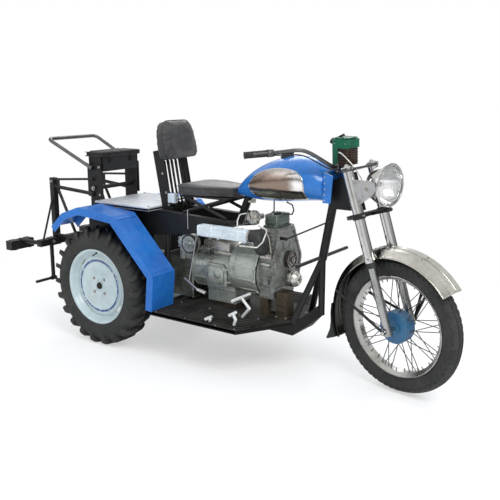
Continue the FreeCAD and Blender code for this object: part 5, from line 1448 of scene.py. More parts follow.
# gearbox: bell flange, webs, side cover, selector tower and bolts

bell = {"z": 0.5, "boltCount": 12}
gearbox = {"radius": 0.108, "z": 0.468, "webCount": 9, "webThick": 0.007}
sideCover = {"rear": 0.612, "front": 0.748, "low": 0.398, "high": 0.522, "face": -0.122, "root": -0.095}
selector = {"rear": 0.52, "front": 0.735, "half": 0.056, "low": 0.56, "high": 0.63}


def makeBell():
    z, boltCount = taken(bell, "z boltCount")
    middle = ahead(0, 0, z)
    shell = hoop([(0.11, 0.752), (0.114, 0.752), (0.1165, 0.758), (0.1185, 0.768), (0.124, 0.782),
                  (0.1325, 0.8), (0.1342, 0.812), (0.1335, 0.872), (0.1342, 0.928), (0.1385, 0.933),
                  (0.14, 0.936), (0.14, 0.9455), (0.1385, 0.947), (0.11, 0.947)], middle, forward, 88)
    gasket = hoop([(0.12, 0.9472), (0.1412, 0.9472), (0.1412, 0.9496), (0.12, 0.9496)], middle, forward, 88)
    webs, bolts = [], []
    for index in range(boltCount):
        angle = math.radians(index * 360 / boltCount + 15)
        out = Vector((0, math.cos(angle), math.sin(angle)))
        ear = drum(middle + forward * 0.9405 + out * 0.1395, forward, 0.0115, 0.0125, 20)
        webs.append(bevelled(ear, 0.0016, 2, 50))
        bolts.append(bolt(middle + forward * 0.9345 + out * 0.1408, -forward, 0.0056))
        rib = slab([Vector((0.8, -0.0035, 0.131)), Vector((0.935, -0.0035, 0.131)),
                    Vector((0.935, -0.0035, 0.1385)), Vector((0.85, -0.0035, 0.1372)),
                    Vector((0.806, -0.0035, 0.1345))], (0, 0.007, 0))
        rib.data.transform(Matrix.Translation(middle) @ Matrix.Rotation(angle - math.pi / 2, 4, "X"))
        webs.append(bevelled(rib, 0.0012, 2))
    fit([shell] + webs, "bellCasting", "gearAlloy", "gearbox")
    fit([gasket], "bellGasket", "blackRubber", "gearbox")
    fitBolts(bolts, "bellBolts", "gearbox")


def makeGearboxRibs():
    radius, webCount, z, webThick = taken(gearbox, "radius webCount z webThick")
    middle, parts = ahead(0, 0, z), []
    for x, reach in ((0.503, 0.0085), (0.56, 0.0035), (0.606, 0.0045)):
        ring = hoop([(radius - 0.004, x), (radius + reach, x + 0.001), (radius + reach, x + 0.009),
                     (radius - 0.004, x + 0.01)], middle, forward, 72)
        parts.append(ring)
    for index in range(webCount):
        angle = math.radians(-60 + index * 34)
        web = slab([Vector((0.506, -webThick / 2, radius - 0.004)),
                    Vector((0.768, -webThick / 2, radius - 0.004)),
                    Vector((0.768, -webThick / 2, radius + 0.02)),
                    Vector((0.7, -webThick / 2, radius + 0.008)),
                    Vector((0.506, -webThick / 2, radius + 0.006))], (0, webThick, 0))
        web.data.transform(Matrix.Translation(middle) @ Matrix.Rotation(angle, 4, "X"))
        parts.append(bevelled(web, 0.0016, 2))
    fit(parts, "gearboxRibs", "gearAlloy", "gearbox")


def makeSideCover():
    given = sideCover
    rear, low, front, high = taken(given, "rear low front high")
    parts, bolts = [], []
    for side in (-1, 1):
        face, root = given["face"] * -side, given["root"] * -side
        outline = roundedOutline(places(ahead, (rear, root, low + 0.012), (rear + 0.02, root, low),
                                        (front, root, low), (front, root, high - 0.03),
                                        (front - 0.03, root, high), (rear, root, high)), 0.008, 3)
        flange = slab(outline, (0, face - root, 0))
        parts.append(bevelled(flange, 0.0025, 2, 50))
        centre = ahead((rear + front) / 2, face, (low + high) / 2)
        inner = [centre + (point - Vector((0, root - face, 0)) - centre) * 0.74 for point in outline]
        raised = slab(inner, (0, side * 0.011, 0))
        parts.append(bevelled(raised, 0.005, 3, 50))
        for share in range(0, 12):
            index = int(share * len(outline) / 12)
            spot = centre + (Vector((outline[index].x, face, outline[index].z)) - centre) * 0.89
            bolts.append(bolt(spot, (0, side, 0), 0.0048))
        parts.append(knob([(0.02, 0.0), (0.0185, 0.008), (0.013, 0.01)],
                          centre + Vector((0.012, side * 0.0105, 0.008)), (0, side, 0), 32))
        bolts.append(bolt(centre + Vector((-0.034, side * 0.011, -0.022)), (0, side, 0), 0.0085))
    fit(parts, "gearboxSideCovers", "gearAlloy", "gearbox")
    fitBolts(bolts, "sideCoverBolts", "gearbox")


def makeSelector():
    rear, low, front, half, high = taken(selector, "rear low front half high")
    base = softBox((rear, -half, low), (front, half, low + 0.016), 0.004, 2)
    tower = softBox((rear + 0.014, -half + 0.01, low + 0.012), (front - 0.022, half - 0.01, high), 0.007, 3)
    turret = spun([(0.0005, 0.0), (0.026, 0.0), (0.026, 0.01), (0.021, 0.018), (0.013, 0.03), (0.011, 0.036),
                   (0.0005, 0.037)], ahead(rear + 0.034, -0.012, high - 0.004), upward, 36)
    boss = [bevelled(drum(ahead(rear + 0.022 + step * 0.024, -half - 0.004, low + 0.026), leftward, 0.0095,
                          0.03, 24), 0.002, 2, 50) for step in range(3)]
    fit([base, tower, turret] + boss, "selectorTower", "carbAlloy", "gearbox")
    links = [tube(places(ahead, (rear + 0.022, -0.066, low + 0.026), (rear + 0.008, -0.08, low + 0.016),
                         (rear - 0.026, -0.086, low + 0.006), (rear - 0.05, -0.088, low + 0.022)), 0.0042),
             tube(places(ahead, (rear + 0.046, -0.068, low + 0.026), (rear + 0.05, -0.086, low + 0.002),
                         (rear + 0.096, -0.094, low - 0.014), (rear + 0.118, -0.092, low - 0.01)), 0.0042),
             tube(places(ahead, (rear + 0.034, -0.012, high + 0.028), (rear + 0.03, -0.02, high + 0.044),
                         (rear - 0.006, -0.048, high + 0.05), (rear - 0.04, -0.07, high + 0.044)), 0.005)]
    bolts = [bolt(ahead(x, side * (half - 0.006), low + 0.016), upward, 0.0048)
             for x in (rear + 0.008, (rear + front) / 2, front - 0.008) for side in (-1, 1)]
    fit(links + bolts, "selectorLinks", "boltSteel", "gearbox")


def makePanFittings():
    bolts, parts = [], []
    for side in (-1, 1):
        for step in range(6):
            bolts.append(bolt(ahead(0.604 + step * 0.031, side * 0.0785, 0.372), (0, side, 0), 0.005))
        parts.append(softBox((0.588, side * 0.078 - 0.003, 0.362), (0.777, side * 0.078 + 0.003, 0.382),
                             0.0022, 2))
        for x in (0.612, 0.65, 0.688, 0.726):
            parts.append(softBox((x, side * 0.078 - 0.003, 0.306), (x + 0.006, side * 0.078 + 0.003, 0.362),
                                 0.0014, 1))
    fit(parts, "panRibs", "gearAlloy", "gearbox")
    fitBolts(bolts, "panBolts", "gearbox")
    flanges = []
    for x in (0.262, 0.488):
        flanges.append(softBox((x, -0.101, 0.296), (x + 0.012, 0.101, 0.525), 0.003, 2))
    fit(flanges, "transferFlanges", "gearAlloy", "transfer_case")
    ring = [bolt(ahead(0.262, side * 0.088, z), -forward, 0.006) for side in (-1, 1)
            for z in (0.315, 0.38, 0.445, 0.51)]
    fitBolts(ring, "transferBolts", "transfer_case")


makeBell()
makeGearboxRibs()
makeSideCover()
makeSelector()
makePanFittings()
print("gearbox detailed")


# silencer, elbow clamps, carburettor, belt drum and engine mounts

silencer = {"rear": 0.613, "front": 0.928, "y": -0.17, "z": 0.713, "halfWidth": 0.0285, "halfHeight": 0.0275,
            "corner": 0.011, "ribReach": 0.0024, "ribsTall": 6, "ribsWide": 5, "cap": 0.007}
carburettor = {"x": 0.912, "y": -0.098, "z": 0.8}
beltDrum = {"x": 0.51, "y": -0.142, "z": 0.616, "radius": 0.05}


def roundedBar(rear, front, y, z, halfWidth, halfHeight, corner):
    outline = roundedOutline(places(ahead, (rear, y - halfWidth, z - halfHeight),
                                    (rear, y + halfWidth, z - halfHeight),
                                    (rear, y + halfWidth, z + halfHeight),
                                    (rear, y - halfWidth, z + halfHeight)), corner)
    return slab(outline, (front - rear, 0, 0))


def makeSilencer():
    given = silencer
    halfWidth, halfHeight, corner, ribsTall, ribsWide, rear, front, ribReach = taken(
        given, "halfWidth halfHeight corner ribsTall ribsWide rear front ribReach")
    body = roundedBar(rear + 0.002, front - 0.001, given["y"], given["z"], halfWidth, halfHeight, corner)
    parts = [bevelled(body, 0.0025, 2, 60)]
    start, end = rear + given["cap"] + 0.004, front - given["cap"] - 0.004
    for index in range(ribsTall):
        z = given["z"] + (index - (ribsTall - 1) / 2) * (halfHeight * 1.62 / (ribsTall - 1))
        for side in (-1, 1):
            y = given["y"] + side * halfWidth
            parts.append(softBox((start, y - ribReach, z - 0.002), (end, y + ribReach, z + 0.002), 0.0017, 3))
    for index in range(ribsWide):
        y = given["y"] + (index - (ribsWide - 1) / 2) * (halfWidth * 1.5 / (ribsWide - 1))
        for side in (-1, 1):
            z = given["z"] + side * halfHeight
            parts.append(softBox((start, y - 0.002, z - ribReach), (end, y + 0.002, z + ribReach), 0.0017, 3))
    for x in (rear, front - given["cap"]):
        cap = roundedBar(x, x + given["cap"], given["y"], given["z"], halfWidth + 0.0028, halfHeight + 0.0024,
                         corner + 0.002)
        parts.append(bevelled(cap, 0.0018, 2, 60))
    fit(parts, "silencerBox", "boxWhite", "silencer", 35, ["silencer"])
    straps, bolts = [], []
    for x in (0.7, 0.872):
        strap = roundedBar(x, x + 0.014, given["y"], given["z"], halfWidth + 0.0034, halfHeight + 0.0034,
                           corner + 0.003)
        straps.append(bevelled(strap, 0.001, 1, 60))
        straps.append(softBox((x + 0.001, given["y"] + 0.027, given["z"] - 0.052),
                              (x + 0.013, given["y"] + 0.031, given["z"] - 0.02), 0.0012, 1))
        bolts.append(bolt(ahead(x + 0.007, given["y"] + 0.01, given["z"] + halfHeight + 0.003), upward,
                          0.0042))
    clamp = hoop([(0.0282, 0.0), (0.0304, 0.0), (0.031, 0.002), (0.031, 0.009), (0.0304, 0.011),
                  (0.0282, 0.011)], ahead(0.93, given["y"], given["z"]), forward, 48)
    lower = copied(clamp, Matrix.Translation(ahead(0.992, -0.121, 0.641)) @ rotation(90, "Z")
                   @ Matrix.Translation(-ahead(0.93, given["y"], given["z"])))
    fit(straps, "silencerStraps", "boxWhite", "silencer")
    fitBolts([clamp, lower], "elbowClamps", "intake_elbow")
    for x, y, z in ((0.935, given["y"] - 0.008, given["z"] + 0.031), (0.992, -0.116, 0.612)):
        bolts.append(bolt(ahead(x, y, z), -leftward, 0.004))
    fitBolts(bolts, "silencerBolts", "silencer")


def makeCarburettor():
    x, y, z = carburettor["x"], carburettor["y"], carburettor["z"]
    bowl = spun([(0.0005, -0.036), (0.02, -0.036), (0.0265, -0.031), (0.0285, -0.024), (0.0285, -0.008),
                 (0.0325, -0.007), (0.0325, 0.0), (0.029, 0.001), (0.029, 0.013), (0.0325, 0.014),
                 (0.0325, 0.019), (0.027, 0.021), (0.021, 0.03), (0.012, 0.0345), (0.0005, 0.0355)],
                ahead(x, y, z), upward, 48)
    throat = knob([(0.017, 0.0), (0.02, 0.003), (0.02, 0.01), (0.017, 0.013), (0.0165, 0.052)],
                  ahead(x, y + 0.02, z - 0.004), leftward, 36)
    horn = spun([(0.0005, -0.002), (0.012, 0.0), (0.0175, 0.004), (0.0185, 0.012), (0.0165, 0.018),
                 (0.0165, 0.034), (0.0005, 0.034)], ahead(x - 0.03, y - 0.014, z - 0.006), forward, 36)
    slide = knob([(0.0125, 0.0), (0.0125, 0.016), (0.0142, 0.017), (0.0142, 0.027), (0.01, 0.03),
                  (0.004, 0.036)], ahead(x + 0.021, y - 0.02, z), upward, 28)
    block = softBox((x + 0.006, y - 0.037, z - 0.018), (x + 0.038, y - 0.014, z + 0.01), 0.0035, 2)
    union = knob([(0.006, 0.0), (0.006, 0.006), (0.0045, 0.007), (0.0045, 0.016)],
                 ahead(x + 0.036, y - 0.026, z - 0.006), forward, 18)
    fit([bowl, throat, horn, slide, block, union], "carburettorBody", "carbAlloy", "carburettor",
        35, ["carburettor"])
    bolts = [bolt(ahead(x + 0.0275 * math.cos(turn), y + 0.0275 * math.sin(turn), z + 0.019), upward, 0.0034)
             for turn in (0.5, 2.07, 3.64, 5.21)]
    bolts += [bolt(ahead(x + 0.01 + step * 0.02, y - 0.037, z - 0.011 + step * 0.012), -leftward, 0.0036)
              for step in range(2)]
    bolts.append(bolt(ahead(x, y, z - 0.036), -upward, 0.006))
    lever = slab(places(ahead, (x - 0.02, y - 0.034, z + 0.02), (x - 0.012, y - 0.034, z + 0.024),
                        (x + 0.002, y - 0.034, z - 0.012), (x - 0.004, y - 0.034, z - 0.016)),
                 (0, -0.0022, 0))
    spring = tube(places(ahead, (x - 0.016, y - 0.037, z + 0.02), (x - 0.03, y - 0.038, z + 0.006),
                         (x - 0.034, y - 0.03, z - 0.024)), 0.0016)
    fitBolts(bolts + [lever, spring], "carburettorScrews", "carburettor")
    jacket = softBox((0.957, -0.1165, 0.592), (1.028, -0.1, 0.62), 0.004, 2)
    lowJacket = softBox((0.953, -0.111, 0.552), (1.018, -0.1, 0.566), 0.003, 2)
    pipe = tube(places(ahead, (0.983, -0.108, 0.742), (1.0, -0.117, 0.735), (1.018, -0.119, 0.7),
                       (1.026, -0.119, 0.66), (1.027, -0.112, 0.626)), 0.0048)
    fit([jacket, lowJacket, pipe], "coolingRail", "carbAlloy", "engine_block")
    fitBolts([bolt(ahead(0.965 + step * 0.027, -0.1165, 0.606), -leftward, 0.0048) for step in range(3)],
             "coolingRailBolts", "engine_block")


def makeElbowSleeve():
    sleeve = spun([(0.0005, 0.0), (0.0275, 0.0), (0.03, 0.003), (0.03, 0.01), (0.0285, 0.012), (0.0285, 0.06),
                   (0.0305, 0.062), (0.0305, 0.074), (0.0275, 0.08), (0.0005, 0.086)],
                  ahead(0.926, -0.166, 0.716), (0.07, 0.05, 0.006), 40)
    fit([sleeve], "elbowSleeve", "blackRubber", "intake_elbow")


def makeBeltDrum():
    x, y, z, radius = beltDrum["x"], beltDrum["y"], beltDrum["z"], beltDrum["radius"]
    belt = hoop([(radius - 0.006, 0.0), (radius + 0.0035, 0.001), (radius + 0.0045, 0.004),
                 (radius + 0.0045, 0.012), (radius + 0.0035, 0.015), (radius - 0.006, 0.016)],
                ahead(x, y - 0.004, z), leftward, 72)
    fit([belt], "drumBelt", "blackRubber", "belt_drum")
    hub = spun([(0.0005, -0.007), (0.011, -0.007), (0.013, -0.004), (0.015, 0.0), (0.0005, 0.004)],
               ahead(x, y - 0.001, z), leftward, 40)
    rim = hoop([(radius - 0.012, 0.002), (radius - 0.011, -0.003), (radius - 0.006, -0.003),
                (radius - 0.005, 0.002)], ahead(x, y - 0.001, z), leftward, 64)
    arms = []
    for turn in range(5):
        arm = box((-0.0035, -0.005, 0.01), (0.0035, 0.004, radius - 0.008))
        arm.data.transform(Matrix.Translation(ahead(x, y, z)) @ Matrix.Rotation(math.tau * turn / 5, 4, "Y"))
        arms.append(bevelled(arm, 0.0015, 2))
    fit([hub, rim] + arms, "drumWheel", "gearAlloy", "belt_drum")
    pump = softBox((0.424, -0.134, 0.586), (0.468, -0.092, 0.65), 0.008, 3)
    nose = knob([(0.014, -0.006), (0.018, -0.002), (0.018, 0.02)], ahead(0.446, -0.138, 0.622), leftward, 28)
    neck = softBox((0.43, -0.128, 0.52), (0.462, -0.098, 0.592), 0.005, 2)
    fit([pump, nose, neck], "drumBearing", "gearAlloy", "belt_drum")
    bolts = [bolt(ahead(x, y - 0.008, z), -leftward, 0.0075)]
    bolts += [bolt(ahead(0.446 + dx, -0.134, 0.618 + dz), -leftward, 0.0048) for dx in (-0.016, 0.016)
              for dz in (-0.024, 0.024)]
    for turn in range(5):
        angle = math.tau * (turn + 0.5) / 5
        bolts.append(bolt(ahead(x + 0.028 * math.sin(angle), y - 0.0005, z + 0.028 * math.cos(angle)),
                          -leftward, 0.0045))
    fitBolts(bolts, "drumBolts", "belt_drum")


def makeMountFittings():
    pads, bolts = [], []
    for x0, x1, y0, y1 in ((0.968, 1.016, -0.066, -0.032), (0.968, 1.016, 0.032, 0.066)):
        pads.append(softBox((x0 - 0.008, y0 - 0.008, 0.2775), (x1 + 0.008, y1 + 0.008, 0.2855), 0.002, 2))
        for x in (x0 - 0.001, x1 + 0.001):
            bolts.append(bolt(ahead(x, (y0 + y1) / 2, 0.2855), upward, 0.0052))
    pads.append(softBox((1.042, -0.103, 0.2775), (1.115, -0.008, 0.286), 0.002, 2))
    for x, y in ((1.048, -0.096), (1.108, -0.096), (1.048, -0.015), (1.108, -0.015)):
        bolts.append(bolt(ahead(x, y, 0.286), upward, 0.0055))
    for z in (0.318, 0.352, 0.386):
        pads.append(softBox((1.049, -0.0995, z), (1.109, -0.094, z + 0.007), 0.0018, 2))
    fit(pads, "mountFeet", "rustyCast", "engine_mounts")
    fitBolts(bolts, "mountBolts", "engine_mounts")


makeSilencer()
makeCarburettor()
makeElbowSleeve()
makeBeltDrum()
makeMountFittings()
print("fittings detailed")


# tank side panels, cap, tap and rivets

tankTrim = {"outline": ((0.882, 0.96), (0.901, 0.997), (0.929, 1.026), (0.993, 1.053), (1.073, 1.066),
                        (1.151, 1.062), (1.192, 1.045), (1.214, 1.018), (1.219, 0.981), (1.217, 0.941),
                        (1.208, 0.914), (1.083, 0.902), (0.951, 0.904), (0.901, 0.925)), "panelSwell": 0.0016,
            "rimSwell": 0.003, "rimWidth": 0.006, "capX": 1.05, "capZ": 1.1335}


def swollenStock(node, swell):
    stock = bpy.data.objects.new("tankStock", nodes[node].data.copy())
    bpy.context.collection.objects.link(stock)
    stock.data.materials.clear()
    settle(stock)
    modifier = stock.modifiers.new("proud", "DISPLACE")
    modifier.strength, modifier.mid_level = swell, 0
    bpy.ops.object.modifier_apply(modifier=modifier.name)
    return stock


def smoothOutline(points, steps=4):
    count, curve = len(points), []
    for index in range(count):
        p0, p1, p2, p3 = (Vector((*points[(index + shift) % count], 0)) for shift in (-1, 0, 1, 2))
        for step in range(steps):
            t = step / steps
            curve.append(0.5 * (2 * p1 + (p2 - p0) * t + (2 * p0 - 5 * p1 + 4 * p2 - p3) * t * t
                                + (3 * p1 - p0 - 3 * p2 + p3) * t ** 3))
    return curve


def makeTankPanels():
    outline, panelSwell, rimSwell, rimWidth = taken(tankTrim, "outline panelSwell rimSwell rimWidth")
    curve = smoothOutline(outline)
    middle = sum(curve, Vector()) / len(curve)

    def prism(shrink):
        inward = [point + (middle - point).normalized() * shrink for point in curve]
        return slab([ahead(point.x, -0.16, point.y) for point in inward], (0, 0.135, 0))

    panel = withCut(swollenStock("fuel_tank", panelSwell), prism(rimWidth * 0.5), "INTERSECT")
    rim = withCut(swollenStock("fuel_tank", rimSwell), prism(0.0), "INTERSECT")
    rim = withCut(rim, prism(rimWidth))
    for piece, name, finish in ((panel, "TankPanel", "tankPanelPaintedReflection"), (rim, "TankPanelRim", "chrome")):
        twin = copied(piece, flipAcross())
        fit([piece], "right" + name, finish, "fuel_tank")
        fit([twin], "left" + name, finish, "fuel_tank")


def makeTankFittings():
    capX, capZ = taken(tankTrim, "capX capZ")
    ring = hoop([(0.0295, -0.03), (0.0345, -0.03), (0.035, -0.021), (0.0335, -0.018), (0.0315, -0.017),
                 (0.0315, -0.004), (0.0335, -0.002), (0.0335, 0.004), (0.0318, 0.0065), (0.0295, 0.0065)],
                ahead(capX, 0, capZ), upward, 48)
    fit([ring], "tankCapRing", "blackPlastic", "tank_cap", 30)
    latch = softBox((capX - 0.01, -0.005, capZ + 0.009), (capX + 0.03, 0.005, capZ + 0.0115), 0.001, 2)
    fitBolts([latch], "tankCapLatch", "tank_cap")
    tapBody = softBox((0.905, -0.114, 0.876), (0.925, -0.098, 0.897), 0.003, 2)
    stem = spun([(0.0005, 0.0), (0.005, 0.0), (0.005, 0.01), (0.0075, 0.011), (0.0075, 0.019),
                 (0.0005, 0.02)], ahead(0.915, -0.113, 0.885), -leftward, 20)
    lever = softBox((0.898, -0.134, 0.88), (0.917, -0.13, 0.889), 0.0015, 1)
    fit([tapBody, stem, lever], "fuelTap", "carbAlloy", "fuel_tank", 30)
    rivets = []
    for z in (0.918, 0.946, 0.974, 1.002, 1.03):
        for side in (-1, 1):
            rivets.append(spun([(0.0005, -0.001), (0.0042, -0.001), (0.004, 0.0008), (0.0024, 0.0022),
                                (0.0005, 0.0027)], ahead(1.3065, side * 0.075, z), (0, side, 0), 14))
    fit(rivets, "neckRivets", "chrome", "neck_cover", 40)
    rod = tube(places(ahead, (1.09, -0.06, 0.7), (1.125, -0.06, 0.716), (1.345, -0.05, 0.822)), 0.0042, 2)
    eye = bevelled(drum(ahead(1.086, -0.06, 0.698), leftward, 0.009, 0.009, 20), 0.0015, 2, 50)
    clevis = softBox((1.05, -0.066, 0.69), (1.09, -0.054, 0.706), 0.002, 2)
    fit([rod, eye, clevis], "neckStay", "blackEnamel", "main_frame")


makeTankPanels()
makeTankFittings()
print("tank dressed")


# front end: headlamp, yokes, handlebar dress, control box and mudguard

lamp = {"forward": 0.1965, "up": 0.6645}
forkLeg = {"ahead": 0.06, "out": 0.095}
barTurn = math.radians(4)


def onBars(x, y, z):
    return onFork(x * math.cos(barTurn) - y * math.sin(barTurn),
                  x * math.sin(barTurn) + y * math.cos(barTurn), z)


def onLeg(side, along=0.0):
    return onFork(forkLeg["ahead"], side * forkLeg["out"], along)


def makeHeadlamp():
    centre, axis = onFork(lamp["forward"], 0, lamp["up"]), steerLeft.cross(upward).normalized()
    outside = [(0.0005, -0.104), (0.03, -0.104), (0.045, -0.0975), (0.058, -0.088), (0.072, -0.073),
               (0.0823, -0.0572), (0.0895, -0.04), (0.0945, -0.025), (0.0973, -0.012), (0.098, -0.001),
               (0.1005, 0.0), (0.1035, 0.0025), (0.104, 0.006), (0.1035, 0.011), (0.101, 0.0148),
               (0.0975, 0.016), (0.0935, 0.0152), (0.0922, 0.0125), (0.092, -0.002), (0.095, -0.003),
               (0.088, -0.038), (0.079, -0.058), (0.055, -0.086), (0.028, -0.1005), (0.0005, -0.1005)]
    shell = spun(outside, centre, axis, 72)
    tail = knob([(0.012, 0.0), (0.012, 0.01), (0.009, 0.014)], centre - axis * 0.103, -axis, 24)
    shoulder = hoop([(0.0955, -0.021), (0.0972, -0.02), (0.0982, -0.017), (0.0984, -0.014), (0.096, -0.013)],
                    centre, axis, 72)
    fit([shell, tail, shoulder], "headlampShell", "chrome", "headlamp", 35, ["headlamp"])
    dish = [(0.0918, 0.001), (0.0905, -0.004), (0.0845, -0.02), (0.072, -0.038), (0.055, -0.054),
            (0.036, -0.064), (0.018, -0.069), (0.0005, -0.07)]
    back = [(max(radius - 0.0006, 0.0005), along - 0.0016) for radius, along in reversed(dish)]
    reflector = spun(dish + back + [dish[0]], centre, axis, 72)
    fit([reflector], "headlampReflector", "reflectorPaintedReflection", "headlamp", 40)
    bulb = spun([(0.0005, -0.07), (0.013, -0.07), (0.013, -0.064), (0.0085, -0.062), (0.0085, -0.056),
                 (0.0105, -0.05), (0.0105, -0.043), (0.0075, -0.037), (0.0005, -0.035)], centre, axis, 32)
    fit([bulb], "headlampBulb", "brightAlloy", "headlamp", 40)
    front = [(0.0914, 0.0065), (0.0895, 0.0098), (0.08, 0.015), (0.064, 0.0193), (0.044, 0.0222),
             (0.022, 0.0236), (0.0005, 0.024)]
    behind = [(radius, along - 0.0028) for radius, along in reversed(front)]
    glass = spun(front + behind + [front[0]], centre, axis, 72)
    fit([glass], "headlampGlass", "lampGlass", "headlamp_lens", 40, ["headlamp_lens"])
    bolts = [bolt(onFork(0.15, side * 0.1075, 0.672), steerLeft * side, 0.0075) for side in (-1, 1)]
    bolts.append(bolt(centre + axis * 0.014 - upward * 0.0985, axis, 0.0036))
    for side in (-1, 1):
        for height in (0.625, 0.715):
            bolts.append(bolt(onFork(0.094, side * 0.1073, height), steerLeft * side, 0.0048))
    fitBolts(bolts, "headlampBolts", "lamp_brackets")


def makeYokes():
    def plate(low, thick, bevel):
        corners = places(onFork, (-0.057, -0.05, low), (0.042, -0.112, low), (0.06, -0.1225, low),
                         (0.084, -0.108, low), (0.0895, -0.085, low), (0.076, 0.0, low), (0.0895, 0.085, low),
                         (0.084, 0.108, low), (0.06, 0.1225, low), (0.042, 0.112, low), (-0.057, 0.05, low))
        return bevelled(slab(roundedOutline(corners, 0.01, 3), steerUp * thick), bevel, 2, 50)

    lower = [plate(0.547, 0.02, 0.004)]
    for side in (-1, 1):
        lower.append(hoop([(0.0257, 0.543), (0.03, 0.543), (0.0306, 0.546), (0.0306, 0.567), (0.03, 0.57),
                           (0.0257, 0.57)], onLeg(side), steerUp, 48))
    lower.append(drum(onFork(0, 0, 0.67), steerUp, 0.014, 0.2, 28))
    lower.append(bevelled(slab(places(onFork, (0.062, -0.011, 0.545), (0.16, -0.011, 0.545),
                                      (0.16, 0.011, 0.545), (0.062, 0.011, 0.545)), steerUp * 0.016), 0.003,
                          2))
    lower.append(bevelled(drum(onFork(0.166, 0, 0.553), steerLeft, 0.01, 0.034, 24), 0.002, 2, 50))
    fit(lower, "lowerYoke", "blackEnamel", "yokes", 35, ["yokes"])
    upper = [plate(0.774, 0.011, 0.003)]
    for side in (-1, 1):
        upper.append(hoop([(0.0257, 0.7735), (0.0298, 0.7735), (0.0304, 0.776), (0.0304, 0.788),
                           (0.0298, 0.79), (0.0257, 0.79)], onLeg(side), steerUp, 48))
        upper.append(bevelled(slab(places(onFork, (-0.057, side * 0.052, 0.772),
                                          (-0.033, side * 0.052, 0.772), (-0.033, side * 0.024, 0.772),
                                          (-0.057, side * 0.024, 0.772)), steerUp * 0.026), 0.003, 2))
    fit(upper, "upperYoke", "barSteel", "yokes")
    caps = []
    for side in (-1, 1):
        caps.append(spun([(0.0005, 0.788), (0.0245, 0.788), (0.0245, 0.791), (0.0205, 0.7935),
                          (0.0185, 0.797), (0.014, 0.7985), (0.0005, 0.799)], onLeg(side), steerUp, 40))
        caps.append(bolt(onLeg(side, 0.7975), steerUp, 0.011))
        caps.append(bolt(onFork(0.06, side * 0.128, 0), steerLeft * side, 0.0105))
        caps.append(bolt(onFork(0.0895, side * 0.095, 0.557), steerAhead, 0.0055))
        caps.append(bolt(onFork(0.0892, side * 0.095, 0.782), steerAhead, 0.0048))
        caps.append(hoop([(0.025, 0.333), (0.0278, 0.334), (0.0284, 0.338), (0.0284, 0.352), (0.0278, 0.356),
                          (0.025, 0.357)], onLeg(side), steerUp, 40))
    caps.append(bolt(onFork(0, 0, 0.786), steerUp, 0.015))
    fit(caps, "forkCaps", "chrome", "fork_covers")
    seals = [hoop([(0.0205, 0.306), (0.0238, 0.307), (0.0242, 0.311), (0.0225, 0.315), (0.0242, 0.319),
                   (0.0225, 0.323), (0.0242, 0.327), (0.024, 0.333), (0.0205, 0.334)], onLeg(side), steerUp,
                  40) for side in (-1, 1)]
    fit(seals, "forkSeals", "blackRubber", "fork_sliders")


def makeBarDress():
    rings, cables = [], []
    half = [(-0.314, 0.3545, 0.9718), (-0.2215, 0.2995, 0.952), (-0.15, 0.262, 0.9385), (-0.1, 0.233, 0.931),
            (-0.076, 0.196, 0.915), (-0.06, 0.14, 0.871), (-0.047, 0.085, 0.825), (-0.045, 0.052, 0.811),
            (-0.045, 0.02, 0.81)]
    route = [onBars(x, -y, z) for x, y, z in half] + [onBars(x, y, z) for x, y, z in reversed(half)]
    bar = [tube(route, 0.0096)]
    for side in (-1, 1):
        foot = places(onBars, (-0.062, side * 0.026, 0.797), (-0.028, side * 0.026, 0.797),
                      (-0.028, side * 0.05, 0.797), (-0.062, side * 0.05, 0.797))
        bar.append(bevelled(slab(foot, steerUp * 0.029), 0.0045, 3))
    fit(bar, "bentBar", "barSteel", "handlebar", 40, ["handlebar"])
    bolts = [bolt(onBars(x, side * 0.038, 0.826), steerUp, 0.0048) for side in (-1, 1)
             for x in (-0.056, -0.034)]
    fitBolts(bolts, "barClampBolts", "handlebar")
    for side in (-1, 1):
        outer, inner = onBars(-0.3205, side * 0.3585, 0.9733), onBars(-0.2215, side * 0.2995, 0.952)
        along = (inner - outer).normalized()
        profile = [(0.0005, 0.0), (0.015, 0.0), (0.0178, 0.0006), (0.0184, 0.003), (0.017, 0.006)]
        for step in range(13):
            start = 0.01 + step * 0.0078
            profile += [(0.0158, start), (0.0168, start + 0.0016), (0.0168, start + 0.0052),
                        (0.0158, start + 0.0068)]
        profile += [(0.0165, 0.1125), (0.0192, 0.1135), (0.0192, 0.1175), (0.015, 0.118), (0.0005, 0.118)]
        rings.append(spun(profile, outer, along, 36))
        cables.append(tube(places(onBars, (-0.214, side * 0.304, 0.94), (-0.175, side * 0.283, 0.93),
                                  (-0.128, side * 0.252, 0.918), (-0.09, side * 0.216, 0.902),
                                  (-0.07, side * 0.172, 0.868), (-0.062, side * 0.128, 0.834),
                                  (-0.05, side * 0.086, 0.806), (-0.034, side * 0.06, 0.801)), 0.0034))
    fit(rings, "gripRibs", "blackRubber", "grips", 30, ["grips"])
    fit(cables, "barCables", "blackRubber", "bar_cables", 40, ["bar_cables"])


